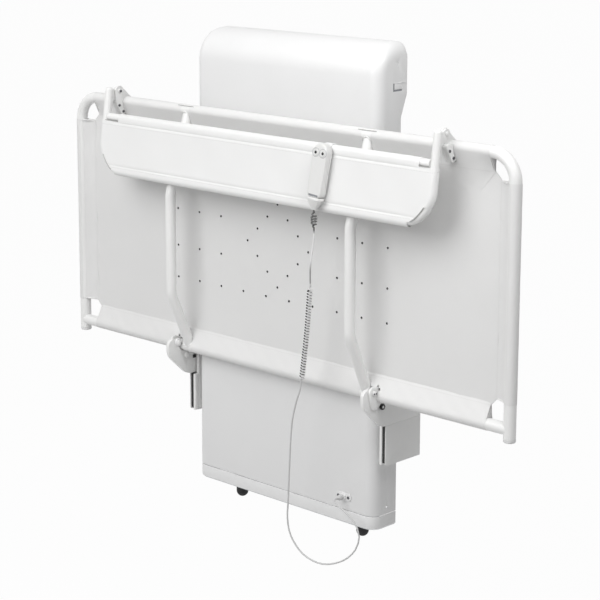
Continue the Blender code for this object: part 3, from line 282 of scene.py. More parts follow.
# shader maths: a socket that adds, takes away, multiplies and divides
class Wire:
    def __init__(self, tree, socket=None):
        self.tree, self.socket = tree, socket

    def node(self, kind, settings=None, sockets=None, outlet=0):
        made = self.tree.nodes.new(kind)
        for key, value in (settings or {}).items():
            setattr(made, key, value)
        for key, value in (sockets or {}).items():
            if isinstance(value, Wire):
                self.tree.links.new(value.socket, made.inputs[key])
            else:
                made.inputs[key].default_value = value
        return Wire(self.tree, made.outputs[outlet])

    def maths(self, operation, first, second):
        return self.node("ShaderNodeMath", {"operation": operation}, {0: first, 1: second})

    def __add__(self, other):
        return self.maths("ADD", self, other)

    def __radd__(self, other):
        return self.maths("ADD", other, self)

    def __sub__(self, other):
        return self.maths("SUBTRACT", self, other)

    def __rsub__(self, other):
        return self.maths("SUBTRACT", other, self)

    def __mul__(self, other):
        return self.maths("MULTIPLY", self, other)

    def __rmul__(self, other):
        return self.maths("MULTIPLY", other, self)

    def __truediv__(self, other):
        return self.maths("DIVIDE", self, other)

    def __rtruediv__(self, other):
        return self.maths("DIVIDE", other, self)

    def noise(self, place, scale, detail=2.0, roughness=0.5):
        return self.node("ShaderNodeTexNoise", None,
                         {"Vector": place, "Scale": scale, "Detail": detail, "Roughness": roughness})

    def ramp(self, value, low, high):  # 0 below low, 1 above high
        return self.node("ShaderNodeMapRange", None, {"Value": value, "From Min": low, "From Max": high})

    def colours(self, share, first, second):
        return self.mixed(share, (*first, 1), (*second, 1))

    def mixed(self, share, first, second):
        return self.node("ShaderNodeMix", {"data_type": "RGBA"}, {0: share, 6: first, 7: second}, outlet=2)


class Finish:
    def __init__(self, name, **fixed):
        self.material = bpy.data.materials.new(name)
        self.material.use_nodes = True
        tree = self.material.node_tree
        self.shader = tree.nodes["Principled BSDF"]
        self.wire = Wire(tree)
        self.place = self.wire.node("ShaderNodeTexCoord", outlet="Object")
        for key, value in fixed.items():
            self.shader.inputs[key.replace("_", " ")].default_value = value

    def put(self, **wires):
        for key, value in wires.items():
            self.wire.tree.links.new(value.socket, self.shader.inputs[key.replace("_", " ")])

    def bump(self, height, deep):
        sockets = {"Height": height, "Distance": deep, "Strength": 1.0}
        self.put(Normal=self.wire.node("ShaderNodeBump", None, sockets))


def coatFinish(name, settings):  # paint with orange peel, slow mottling and faint rubbed places
    finish = Finish(name, Metallic=0.0, Coat_Weight=settings["coat"], Coat_Roughness=0.25)
    wire, place = finish.wire, finish.place
    peel = wire.noise(place, settings["peel"], 3)
    slow = wire.noise(place, 5, 4)
    rub = wire.ramp(wire.noise(place, 38, 6, 0.7), 0.56, 0.75)
    tint = wire.colours(slow, settings["low"], settings["high"])
    finish.put(Base_Color=wire.mixed(rub * 0.25, tint, (*settings["rubbed"], 1)),
               Roughness=settings["rough"] + 0.14 * slow + 0.10 * rub)
    finish.bump(peel + 0.25 * rub, settings["deep"])
    return finish.material


waveScale = 0.314  # a wave texture's scale for a pitch of one metre


def clothFinish(name, settings):  # coated fabric: weave, slow shade, and stitches along its seams
    finish = Finish(name, Metallic=0.0, Sheen_Weight=0.08)
    wire, place = finish.wire, finish.place
    sockets = {"Vector": place, "Scale": waveScale / settings["pitch"], "Distortion": 0.3}
    across, along = [wire.node("ShaderNodeTexWave", {"bands_direction": run}, sockets) for run in "XZ"]
    weave = across * along
    slow = wire.noise(place, 3.2, 5, 0.6)
    fine = wire.noise(place, 140, 3)
    tint = wire.mixed(weave * 0.16, wire.colours(slow, settings["low"], settings["high"]), (*settings["thread"], 1))
    sewn = 0.0 * fine  # no stitches yet
    for normal, offset, run in settings["seams"]:  # a dashed line in the plane at offset along normal
        away = wire.node("ShaderNodeVectorMath", {"operation": "DOT_PRODUCT"}, {0: place, 1: normal}, "Value") - offset
        near = wire.ramp(wire.node("ShaderNodeMath", {"operation": "ABSOLUTE"}, {0: away}), 0.0011, 0.0006)
        sockets = {"Vector": place, "Scale": waveScale / settings["stitch"]}
        dash = wire.node("ShaderNodeTexWave", {"bands_direction": run}, sockets)
        sewn = sewn + near * wire.ramp(dash, 0.15, 0.4)
    finish.put(Base_Color=wire.mixed(sewn * 0.3, tint, (*settings["seamTint"], 1)),
               Roughness=settings["rough"] + 0.1 * fine - 0.06 * weave)
    finish.bump(weave + 0.4 * fine + 3.0 * sewn, settings["deep"])
    return finish.material


def metalFinish(name, settings):  # zinc with its spangle, or dark steel
    finish = Finish(name, Metallic=1.0)
    wire, place = finish.wire, finish.place
    cells = wire.node("ShaderNodeTexVoronoi", None, {"Vector": place, "Scale": settings["spangle"]}, "Color")
    shade = wire.node("ShaderNodeSeparateColor", None, {"Color": cells})
    slow = wire.noise(place, 30, 4)
    finish.put(Base_Color=wire.colours(shade * 0.6 + 0.4 * slow, settings["low"], settings["high"]),
               Roughness=settings["rough"] + 0.15 * shade)
    finish.bump(wire.noise(place, 900, 2) + 0.3 * slow, settings["deep"])
    return finish.material


def plasticFinish(name, settings):  # moulded plastic or rubber with a fine spark texture and some dust
    finish = Finish(name, Metallic=0.0)
    wire, place = finish.wire, finish.place
    grain = wire.noise(place, settings["grain"], 2)
    slow = wire.noise(place, 45, 4, 0.6)
    dust = wire.ramp(slow, 0.5, 0.8)
    finish.put(Base_Color=wire.colours(dust, settings["low"], settings["high"]),
               Roughness=settings["rough"] + 0.15 * grain + 0.1 * dust)
    finish.bump(grain, settings["deep"])
    return finish.material


def coilFinish(name, settings):  # the cord's own grey, darkened by painted shade between the turns and on the curls
    finish = Finish(name, Metallic=0.0)
    wire, place = finish.wire, finish.place
    shadeMask = wire.node("ShaderNodeAttribute", {"attribute_name": "outside"}, None, "Fac")
    grain = wire.noise(place, settings["grain"], 2)
    slow = wire.noise(place, 45, 4, 0.6)
    share, tint = wire.ramp(shadeMask, 0.80, 0.94), wire.colours(slow, settings["low"], settings["high"])
    finish.put(Base_Color=wire.mixed(share, (*settings["deepTint"], 1), tint),
               Roughness=settings["rough"] + 0.15 * grain)
    finish.bump(grain, settings["deep"])
    return finish.material


# places shared by the pieces, in the part's own frame
bothSides = ((-1, "Left"), (1, "Right"))
bedY, tubeWide, railZ, crossbarZ, postX, bedLow = -0.225, 0.035, -0.1175, -0.864, 0.8825, -0.900
towerY, towerRear, towerHalf, towerLow = -0.197, -0.098, 0.375, -1.290
armX = 0.372
guardLean, guardTop = math.radians(7.6), Vector((0, -0.300, -0.158))
guardPlace = Matrix.Translation(guardTop) @ Matrix.Rotation(-guardLean, 4, "X")
guardUp = (0, -math.sin(guardLean), math.cos(guardLean))  # up along the leaning guard
guardLevel = guardTop.dot(Vector(guardUp))
guardAxis = Vector((0, -0.256, -0.080))
panelR, guardX, guardTall = 0.0143, 0.670, 0.1640
handPlace = guardPlace @ at(0.2895, -0.0309, -0.012) @ Matrix.Rotation(math.radians(4.5), 4, "Y")
pivot = Vector((0, -0.252, -0.852))

powderCoat = coatFinish("powderCoat", {
    "low": (0.80, 0.80, 0.79), "high": (0.85, 0.85, 0.845), "rubbed": (0.77, 0.77, 0.76),
    "peel": 700, "deep": 0.00008, "rough": 0.26, "coat": 0.25})
shellPaint = coatFinish("shellPaint", {
    "low": (0.77, 0.77, 0.77), "high": (0.81, 0.81, 0.81), "rubbed": (0.75, 0.75, 0.75),
    "peel": 1100, "deep": 0.00005, "rough": 0.32, "coat": 0.15})
handsetShell = coatFinish("handsetShell", {
    "low": (0.71, 0.71, 0.70), "high": (0.75, 0.75, 0.74), "rubbed": (0.68, 0.68, 0.67),
    "peel": 1500, "deep": 0.00004, "rough": 0.34, "coat": 0.05})
sheetCloth = clothFinish("sheetCloth", {
    "low": (0.745, 0.743, 0.738), "high": (0.79, 0.788, 0.783), "thread": (0.68, 0.678, 0.673),
    "pitch": 0.0011, "deep": 0.00012, "rough": 0.52, "stitch": 0.0065, "seamTint": (0.60, 0.59, 0.58),
    "seams": [((0, 0, 1), -0.1710, "X"), ((0, 0, 1), -0.8105, "X"),
              ((1, 0, 0), -0.8290, "Z"), ((1, 0, 0), 0.8290, "Z")]})
panelCloth = clothFinish("panelCloth", {
    "low": (0.80, 0.80, 0.795), "high": (0.85, 0.85, 0.845), "thread": (0.75, 0.75, 0.74),
    "pitch": 0.0009, "deep": 0.00008, "rough": 0.48, "stitch": 0.0055, "seamTint": (0.46, 0.46, 0.45),
    "seams": [(guardUp, guardLevel - 0.0185, "X"), (guardUp, guardLevel - 0.1455, "X")]})
# dark grey cloth for thin lines along the cloth's cut edges: painted shadow where a cut edge stands off its tube
hemTape = clothFinish("hemTape", {
    "low": (0.36, 0.36, 0.35), "high": (0.44, 0.44, 0.43), "thread": (0.25, 0.25, 0.25),
    "pitch": 0.0006, "deep": 0.00006, "rough": 0.6, "stitch": 0.004, "seamTint": (0.2, 0.2, 0.2), "seams": []})
zincSteel = metalFinish("zincSteel", {
    "low": (0.50, 0.51, 0.52), "high": (0.68, 0.69, 0.70), "spangle": 130, "deep": 0.00004, "rough": 0.32})
screwSteel = metalFinish("screwSteel", {
    "low": (0.10, 0.10, 0.11), "high": (0.22, 0.22, 0.23), "spangle": 400, "deep": 0.00005, "rough": 0.38})
blackRubber = plasticFinish("blackRubber", {
    "low": (0.012, 0.012, 0.013), "high": (0.05, 0.05, 0.05), "grain": 900, "deep": 0.00015, "rough": 0.62})
greyPlastic = plasticFinish("greyPlastic", {
    "low": (0.26, 0.27, 0.29), "high": (0.34, 0.35, 0.37), "grain": 1300, "deep": 0.0001, "rough": 0.42})
cordSheath = plasticFinish("cordSheath", {
    "low": (0.56, 0.56, 0.56), "high": (0.66, 0.66, 0.66), "grain": 800, "deep": 0.00006, "rough": 0.36})
# coilSheath: its near-black tint is painted shade between the cord's turns
coilSheath = coilFinish("coilSheath", {
    "low": (0.78, 0.78, 0.78), "high": (0.86, 0.86, 0.86), "deepTint": (0.015, 0.015, 0.015),
    "grain": 800, "deep": 0.00006, "rough": 0.34})
slotFinish = {"white_powder_coat": powderCoat, "white_moulded_shell": shellPaint, "zinc_plated_steel": zincSteel,
              "black_rubber": blackRubber, "grey_plastic": greyPlastic}
finishSlot = {finish.name: slot for slot, finish in slotFinish.items()}
finishSlot.update(handsetShell="white_moulded_shell", screwSteel="zinc_plated_steel", cordSheath="grey_cord",
                  coilSheath="grey_cord", sheetCloth="coated_sheet", panelCloth="coated_panel")
print("stage: finishes made")

# camera
viewSettings = {
    "place": (3.7866, -4.0803, 0.6352), "yaw": 0.7629, "pitch": 0.1889, "roll": 0.003,
    "lens": 111.47, "sensor": 36, "shift": -0.14}


def buildCamera(place, yaw, pitch, roll, lens, sensor, shift):
    turn = (Matrix.Rotation(yaw, 4, "Z") @ Matrix.Rotation(math.pi / 2 - pitch, 4, "X")
            @ Matrix.Rotation(roll, 4, "Z"))
    deselect()
    bpy.ops.object.camera_add(location=place, rotation=turn.to_euler())
    camera = bpy.context.object
    camera.data.sensor_width, camera.data.lens, camera.data.shift_y = sensor, lens, shift
    camera.data.dof.use_dof = False
    scene.camera = camera


buildCamera(**viewSettings)

# light: a white surround, a large soft key from the upper front, two lamps from the upper right,
# and a floor that keeps the shadow
lightSettings = {
    "surround": 0.31, "floorZ": -1.95, "floorWide": 60, "floorWhite": 0.97,
    "floorLow": (0.64, 0.64, 0.64), "floorHigh": (0.70, 0.70, 0.70),
    "lamps": [("key", (-0.5, -4.0, 2.5), (0, -0.2, -0.3), 4.2, 164),
              ("side", (2.6, -1.5, 3.4), (0, -0.2, 0), 2.4, 32),
              ("rim", (1.9, -0.7, 1.5), (0.3, -0.15, 0), 1.2, 20)]}


def seenShare(wire):  # 1 for what the camera, a reflection or glass sees
    camera, glossy, through = [wire.node("ShaderNodeLightPath", outlet=f"Is {ray} Ray")
                               for ray in ("Camera", "Glossy", "Transmission")]
    return wire.maths("MAXIMUM", camera, wire.maths("MAXIMUM", glossy, through))


def buildStage(surround, floorZ, floorWide, floorWhite, floorLow, floorHigh, lamps):
    world = bpy.data.worlds.new("whiteStudio")
    scene.world = world
    world.use_nodes = True
    tree = world.node_tree
    sky = tree.nodes["Background"].inputs
    tree.links.new((surround + (1 - surround) * seenShare(Wire(tree))).socket, sky["Strength"])
    sky["Color"].default_value = (1, 1, 1, 1)
    floor = primitive(bpy.ops.mesh.primitive_plane_add, "paleFloor", size=floorWide, location=(0, 0, floorZ))
    finish = Finish("paleFloor", Roughness=0.9)
    wire, tree = finish.wire, finish.wire.tree
    finish.put(Base_Color=wire.colours(wire.noise(finish.place, 0.8, 3), floorLow, floorHigh))
    glow = wire.node("ShaderNodeEmission", None, {"Color": (1, 1, 1, 1), "Strength": 1.0})
    both = wire.node("ShaderNodeMixShader", None, {
        0: seenShare(wire) * floorWhite, 1: Wire(tree, finish.shader.outputs[0]), 2: glow})
    tree.links.new(both.socket, tree.nodes["Material Output"].inputs["Surface"])
    floor.data.materials.append(finish.material)
    for name, place, target, wide, power in lamps:
        deselect()
        aim = (Vector(target) - Vector(place)).to_track_quat("-Z", "Y")
        bpy.ops.object.light_add(type="AREA", location=place, rotation=aim.to_euler())
        lamp = bpy.context.object
        lamp.name = name
        lamp.data.shape, lamp.data.size, lamp.data.energy = "DISK", wide, power


buildStage(**lightSettings)
print("stage: camera and light set")

# the cord: curls under the handset, a stretched lead, the tight coil, then a loop under the tower up to its plug
# curlShade, leadPale, leadFade, leadDark and plainShade set the painted shade on the curls, the lead and the coil's
# ends
cordSettings = {
    "wide": 0.005, "perTurn": 14, "held": 0.050, "looseTurns": 5, "looseR": 0.007, "looseL": 0.060,
    "tightTurns": 34, "tightR": 0.0062, "coilEnd": 0.020,
    "leadStep": 0.012, "coilStep": 0.02, "hangStep": 0.018, "spineStep": 0.004,
    "curlShade": 0.82, "leadPale": 0.070, "leadFade": 2.8, "leadDark": 0.86, "plainShade": 0.905,
    "outlet": (0, 0, -0.1613), "plug": (0.258, -0.2286, -1.211),
    "lead": [(0.272, -0.347, -0.402), (0.262, -0.343, -0.448), (0.252, -0.340, -0.495)],
    "coil": [(0.250, -0.338, -0.544), (0.231, -0.332, -0.695), (0.2035, -0.325, -0.852)],
    "drop": [(0.196, -0.323, -0.874), (0.179, -0.320, -0.912), (0.158, -0.315, -0.975), (0.146, -0.310, -1.050),
             (0.137, -0.305, -1.130), (0.127, -0.300, -1.238), (0.122, -0.297, -1.290), (0.133, -0.293, -1.343),
             (0.177, -0.285, -1.391)],
    "low": (0.246, -0.275, -1.405),
    "tail": [(0.317, -0.265, -1.378), (0.3565, -0.255, -1.337), (0.366, -0.249, -1.296), (0.356, -0.247, -1.272),
             (0.329, -0.247, -1.247), (0.298, -0.247, -1.231), (0.276, -0.247, -1.2225), (0.262, -0.2425, -1.214)]}


def smoothRoute(points, step):  # a smooth line through the points
    points = [Vector(point) for point in points]
    ends = [2 * points[0] - points[1], *points, 2 * points[-1] - points[-2]]
    path = [points[0]]
    for before, first, last, after in zip(ends, ends[1:], ends[2:], ends[3:]):
        count = max(1, round((last - first).length / step))
        for index in range(1, count + 1):
            part = index / count
            path.append(0.5 * (2 * first + (last - before) * part
                               + (2 * before - 5 * first + 4 * last - after) * part ** 2
                               + (3 * first - before - 3 * last + after) * part ** 3))
    return path


endPitch = 1.8  # the first and last turns of a coil are this much wider apart


def curled(route, turns, radius, each, wide):
    lengths = [0.0]
    for first, second in zip(route, route[1:]):
        lengths.append(lengths[-1] + (second - first).length)
    count = turns * each
    steps = [endPitch if min(index, count - 1 - index) < each else 1.0 for index in range(count)]
    scale = (lengths[-1] - 2 * wide) / sum(steps)
    path, reach = [route[0]], wide
    for index in range(count + 1):
        leg = max(place for place in range(len(lengths) - 1) if lengths[place] <= reach)
        run = (route[leg + 1] - route[leg]).normalized()
        side = run.cross(Vector((0, 1, 0))).normalized()
        swell = min(1.0, index / each, (count - index) / each)
        angle = math.tau * index / each
        path.append(route[leg] + run * (reach - lengths[leg])
                    + radius * swell * (math.cos(angle) * side + math.sin(angle) * side.cross(run)))
        reach += scale * steps[min(index, count - 1)]
    return [*path, route[-1]]


def pathLength(path):
    return sum((second - first).length for first, second in zip(path, path[1:]))


def buildCords(wide, perTurn, held, looseTurns, looseR, looseL, tightTurns, tightR, coilEnd, leadStep, coilStep,
               hangStep, spineStep, curlShade, leadPale, leadFade, leadDark, plainShade, outlet, plug, lead, coil,
               drop, low, tail):
    start, low, plug = handPlace @ Vector(outlet), Vector(low), Vector(plug)
    down = (Vector(lead[0]) - start).normalized()
    coil = [Vector(point) for point in coil]
    curls = curled([start, start + down * looseL], looseTurns, looseR, perTurn, wide)
    turns = curled(smoothRoute(coil, coilStep), tightTurns, tightR, perTurn, wide)
    hanging = smoothRoute([coil[-1], *drop, low, *tail, plug - Vector((0, 1.5 * wide, 0)), plug], hangStep)
    split = min(range(len(hanging)), key=lambda index: (hanging[index] - low).length)
    end = min(range(1, split), key=lambda index: abs(pathLength(hanging[:index + 1]) - held))
    paths = [curls + smoothRoute([curls[-1], *lead, coil[0]], leadStep)[1:], turns + hanging[1:end + 1],
             hanging[end:split + 1], hanging[split:][::-1]]
    made = []
    for word, path, sides, sheath in zip(("Lead", "Coil", "Drop", "Tail"), paths, (12, 10, 14, 14),
                                         (coilSheath, coilSheath, cordSheath, cordSheath)):
        made.append(settled(tube("cord" + word, path, wide, sides), sheath, None, "cord_" + word.lower()))
    inner, outer = tightR - wide / 2, tightR + wide / 2
    spine, curlEnd = smoothRoute(coil, spineStep), start.z - looseL
    for piece in made[:2]:  # painted shade: how far out each point of the coil is, low values dark between the turns; the loose curls get one dark value, the lead below them grows darker towards the bottom, and the coil's ends get one middling value
        shade = piece.data.attributes.new("outside", "FLOAT", "POINT")
        for spot, value in zip(piece.data.vertices, shade.data):
            if piece is made[0]:
                fade = leadFade * max(0.0, curlEnd - spot.co.z - leadPale)
                value.value = curlShade if spot.co.z > curlEnd else max(leadDark, 1.0 - fade)
            elif coil[0].z - coilEnd > spot.co.z > coil[-1].z + coilEnd:
                value.value = (min((spot.co - centre).length for centre in spine) - inner) / (outer - inner)
            else:
                value.value = plainShade
    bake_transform(made[0])
    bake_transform(made[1])
    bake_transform(made[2])
    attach(made[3], "tower")
    words = (("object", "medium", "hanging"), ("object", "stiff", "coiled"),
             ("object", "medium", "hanging"), ("object", "medium", "loose"))
    for piece, path, (farEnd, stiffness, lay) in zip(made, paths, words):
        pathLength(path)


buildCords(**cordSettings)
print("stage: cords made")

# tower: hood, front cover and skirt as thin shells that are open to the wall, and two rubber feet
towerSettings = {
    "thick": 0.003, "corner": 0.036, "edge": 0.0012, "coverLow": -1.2517, "coverTall": 0.9717,
    "skirtTall": 0.0368, "hoodLow": -0.2797, "hoodTop": 0.1343, "hoodR": 0.095, "past": 0.010,
    "step": 0.038, "stepTall": 0.150, "blendTall": 0.065, "blendShare": 0.45, "rearR": 0.022, "rearDrawn": 0.45,
    "pocketWide": 0.039, "pocketTall": 0.025, "pocketDeep": 0.0016, "pocketUp": 0.1138,
    "pocketIn": 0.034, "pocketGap": 0.0055, "lip": 0.0016, "browLong": 0.017, "hair": 0.0002,
    "dot": (-0.1138, 0.0763), "dotWide": 0.0045, "holeWide": 0.006, "holeBack": 0.058, "holeUp": 0.021,
    "boreDeep": 0.012, "footX": 0.257, "footBack": 0.085, "footTop": -1.2943, "footR": 0.019,
    "footTall": 0.063}


def wallBand(name, low, tall, size):
    lines = []
    for inset in (0, size["thick"]):
        side, front, bend = towerHalf - inset, towerY + inset, size["corner"] - inset
        corners = [(-side, towerRear), (-side, front), (side, front), (side, towerRear)]
        lines.append(rounded(corners, [bend, bend], 14))
    return plate(name, lines[0] + lines[1][::-1], tall, at(0, 0, low + tall / 2))


def hoodOutline(inset, drawn, size):
    past = size["past"] if inset else 0.0  # the hollow runs out at the rear and below
    front, top = towerY + inset + drawn, size["hoodTop"] - inset - drawn
    rear, low = towerRear + past, size["hoodLow"] - past
    step, stepLow = rear + size["step"] - size["rearDrawn"] * drawn, size["hoodTop"] - size["stepTall"]
    bend = size["blendTall"] * size["blendShare"]
    corners = [(front, low), (front, top), (step, top), (step, stepLow),
               (rear, stepLow - size["blendTall"]), (rear, low)]
    bends = [0, size["hoodR"] - inset - drawn, 0 if inset else size["rearR"], bend, bend, 0]
    return rounded(corners, bends, 12, True)


def hoodLoaf(name, inset, size):  # the outline drawn in towards both rounded ends
    half, bend = towerHalf - inset, size["corner"] - inset
    turns = [math.pi / 2 * step / 10 for step in range(11)]
    ends = [(half - bend * (1 - math.sin(turn)), bend * (1 - math.cos(turn))) for turn in turns]
    stations = [*[(-x, drawn) for x, drawn in ends[::-1]], *ends]
    lines = [hoodOutline(inset, drawn, size) for x, drawn in stations]
    columns, rows = len(stations) - 1, len(lines[0])
    loaf = grid(name, columns, rows)
    for spot in loaf.data.vertices:
        column, row = cell(spot, columns, rows)
        point = lines[column][row % rows]
        spot.co = (stations[column][0], point.x, point.y)
    edit(loaf)
    bpy.ops.mesh.remove_doubles(threshold=mergeReach)
    bpy.ops.mesh.fill_holes(sides=0)
    outward()
    return loaf


def buildTower(size):
    cover = wallBand("coverShell", size["coverLow"], size["coverTall"], size)
    holePlace = alongX((towerHalf, towerY + size["holeBack"], size["coverLow"] + size["holeUp"]))
    cut(cover, disc("sideHole", size["holeWide"], size["boreDeep"], holePlace))
    settled(bevelled(cover, size["edge"]), shellPaint, "tower", "front_cover")
    skirt = wallBand("skirtShell", towerLow, size["skirtTall"], size)
    settled(bevelled(skirt, size["edge"]), shellPaint, "tower", "skirt")
    hood = hoodLoaf("hoodShell", 0, size)
    rear, top = towerRear + size["step"] - size["pocketIn"], size["hoodTop"] - size["pocketUp"]
    front, low, floor = rear - size["pocketWide"], top - size["pocketTall"], towerHalf - size["pocketDeep"]
    pocket = block("pocket", (floor, front, low), (towerHalf + 0.01, rear, top))
    dot = disc("sideDot", size["dotWide"], size["boreDeep"], alongX((towerHalf, *size["dot"])), 20)
    cut(hood, hoodLoaf("hoodHollow", size["thick"], size), pocket, dot)
    gap, lip, hair = size["pocketGap"], size["lip"], size["hair"]
    tab = block("pocketTab", (floor + hair, front + gap, low + gap), (towerHalf + 0.0003, rear, top - 0.0004))
    edge = block("pocketLip", (floor + hair, front, top - lip), (towerHalf + lip, rear, top))
    brow = block("pocketBrow", (towerHalf - hair, rear, top - lip), (towerHalf + lip, rear + size["browLong"], top))
    settled(bevelled(joined("hoodPocketTab", [tab, edge, brow]), 0.0004, 2), shellPaint, "tower")
    inset = 0.0003
    # a thin grey plate on the pocket's floor, seen only in the gap round the tab: painted shade in that gap
    shade = block("hoodPocketShade", (floor, front + inset, low + inset), (floor + hair, rear - inset, top - inset))
    settled(shade, greyPlastic, "tower")
    settled(bevelled(merged(hood), 0.0008, 2), shellPaint, "tower", "hood")
    rim, radius, tall = size["footTop"], size["footR"], size["footTall"]
    turns = [math.pi / 2 * step / 10 for step in range(10)]
    bowl = [(radius * math.cos(turn), rim - (tall - radius) - radius * math.sin(turn)) for turn in turns]
    profile = [(0, rim), (radius * 0.9, rim), (radius, rim - 0.002), (radius, rim - 0.006),
               (radius * 0.94, rim - 0.0075), (radius * 0.94, rim - 0.0095), (radius, rim - 0.011),
               *bowl, (0, rim - tall)]
    for side, word in bothSides:
        foot = turned("rubberFoot" + word, profile, at(side * size["footX"], towerY + size["footBack"], 0))
        settled(foot, blackRubber, "tower", "foot_" + word.lower())


buildTower(towerSettings)
print("stage: tower made")

# bed frame: one bent tube, a crossbar and two bowed arms, with weld beads where they meet
bedSettings = {
    "corner": 0.075, "crossGap": 0.004, "plugTall": 0.010, "armWide": 0.032, "armFwd": 0.08,
    "armHigh": -0.370, "armLow": -0.684, "armBend": 0.08, "armSunk": 0.35, "bead": 0.0042}


def weldBead(name, foot, head, away, armWide, bead):  # a ring where an arm meets a tube that runs along X
    across, along = Vector((1, 0, 0)), (head - foot).normalized()
    up = across.cross(along)
    arm, bar = armWide / 2, tubeWide / 2
    path = []
    for index in range(49):
        turn = math.tau * index / 48
        lift = math.sqrt(bar ** 2 - (arm * math.sin(turn)) ** 2) + 0.0004
        path.append(away + foot + along * lift + arm * (across * math.cos(turn) + up * math.sin(turn)))
    return tube(name, path, bead, 8, False)


def buildBed(corner, crossGap, plugTall, armWide, armFwd, armHigh, armLow, armBend, armSunk, bead):
    end, reach, radius = bedLow + plugTall, postX - crossGap, tubeWide / 2
    corners = [(-postX, bedY, end), (-postX, bedY, railZ), (postX, bedY, railZ), (postX, bedY, end)]
    bent = tube("bedTube", rounded(corners, [corner] * 2, 20), tubeWide, 36)
    settled(bent, powderCoat, "bed", "bed_frame")
    cross = tube("crossTube", [(-reach, bedY, crossbarZ), (reach, bedY, crossbarZ)], tubeWide, 36)
    settled(cross, powderCoat, "bed", "crossbar")
    top, low = Vector((0, bedY, railZ)), Vector((0, bedY, crossbarZ))
    high, deep = Vector((0, bedY - armFwd, armHigh)), Vector((0, bedY - armFwd, armLow))
    sunkTop = (high - top).normalized() * tubeWide * armSunk
    sunkLow = (deep - low).normalized() * tubeWide * armSunk
    profile = [(0, 0.014), (radius - 0.003, 0.014), (radius - 0.003, 0.010), (radius, 0.0095), (radius, 0.004),
               (radius - 0.0012, 0.0012), (radius - 0.004, 0), (0.004, 0), (0.003, 0.0012), (0, 0.0012)]
    for side, word in bothSides:
        away = Vector((side * armX, 0, 0))
        path = rounded([away + top + sunkTop, away + high, away + deep, away + low + sunkLow], [armBend] * 2, 14)
        settled(tube("armTube" + word, path, armWide, 32), powderCoat, "bed", "arm_" + word.lower())
        beads = [weldBead("beadTop", top, high, away, armWide, bead),
                 weldBead("beadLow", low, deep, away, armWide, bead)]
        settled(joined("armWelds" + word, beads), powderCoat, "bed")
        plug = turned("postCap" + word, profile, at(side * postX, bedY, bedLow))
        settled(plug, shellPaint, "bed", "post_plug_" + word.lower())


buildBed(**bedSettings)
print("stage: bed frame made")

# bed sheet: one flat panel with punched drain holes, and a sleeve round each tube, welded to it
# a sleeve has its length from tube to seam and its flare; a notch has its sleeve, two x, a height, its drop and lift
sheetSettings = {
    "back": 0.010, "thick": 0.002, "seam": 0.058, "overlap": 0.006, "cells": (150, 66),
    "sleeves": {"Left": (0.058, 2), "Low": (0.060, 1), "Right": (0.058, 2), "Rail": (0.110, 1.7)},
    "tipEnd": 0.056, "seamThick": 0.0028, "sleeveThick": 0.0015, "ease": 0.0006, "sleeveEnd": 0.072,
    "corner": 0.075, "holeWide": 0.007, "pitch": 0.0965, "near": 0.0585, "far": 0.160,
    "diamond": 0.042, "ripple": 0.0006, "cut": (2.00, 0.98), "slit": (0.338, 0.406), "slitWide": 0.0020,
    "slitLean": 50, "slitOut": 0.0018, "shoulder": 70, "cellLong": 0.016, "webThick": 0.001,
    "webIn": 0.003, "punchDeep": 0.03, "notchDeep": 0.06, "eyelet": 0.0012,
    "notches": [(1, 0.3548, 0.3892, crossbarZ, 0.035, 0.0310),
                (1, 0.3884, 0.4282, crossbarZ, 0.035, 0.0248),
                (1, 0.4132, 0.4208, crossbarZ, 0.036, 0.0314),
                (3, 0.6580, 0.6858, railZ, 0.040, 0.035), (3, 0.3548, 0.3892, railZ, 0.024, 0.035)]}


def drainHoles(size):
    places = []
    for row in (-size["far"], size["far"]):
        places += [((column + 0.5) * size["pitch"], row) for column in range(-5, 5)]
    for row in (-size["near"], size["near"]):
        places += [((column + 0.5) * size["pitch"], row) for column in (-5, -4, -3, 2, 3, 4)]
    for step in range(12):
        places.append(((abs((step + 3) % 12 - 6) - 3) * size["diamond"], (abs(step - 6) - 3) * size["diamond"]))
    return places


def sheetCuts(size):  # half widths along the low sleeve and the rail, heights where the side sleeves end
    return (postX - size["sleeveEnd"], postX - size["corner"], crossbarZ + size["sleeveEnd"], railZ - size["corner"])


def sheetPanel(size):
    low, high = crossbarZ + size["seam"] - size["overlap"], railZ - size["seam"] + size["overlap"]
    side = postX - size["seam"] + size["overlap"]
    cutX, cutRail, cutLow, cutHigh = sheetCuts(size)
    panel = grid("sheetPanel", *size["cells"])
    for spot in panel.data.vertices:
        across, up = spot.co.x, (spot.co.y + 1) / 2
        z = low + (high - low) * up
        half = side
        if z < cutLow:
            half = cutX + (side - cutX) * (z - low) / (cutLow - low)
        if z > cutHigh:
            half = side + (cutRail - side) * (z - cutHigh) / (high - cutHigh)
        x = across * half
        edge = max(abs(across) ** 10, abs(2 * up - 1) ** 6)
        wave = size["ripple"] * edge * (math.sin(43 * x + 9 * z) + math.sin(37 * z - 11 * x))
        spot.co = (x, bedY + size["back"] + wave, z)
    return modify(panel, "SOLIDIFY", thickness=size["thick"], offset=0)


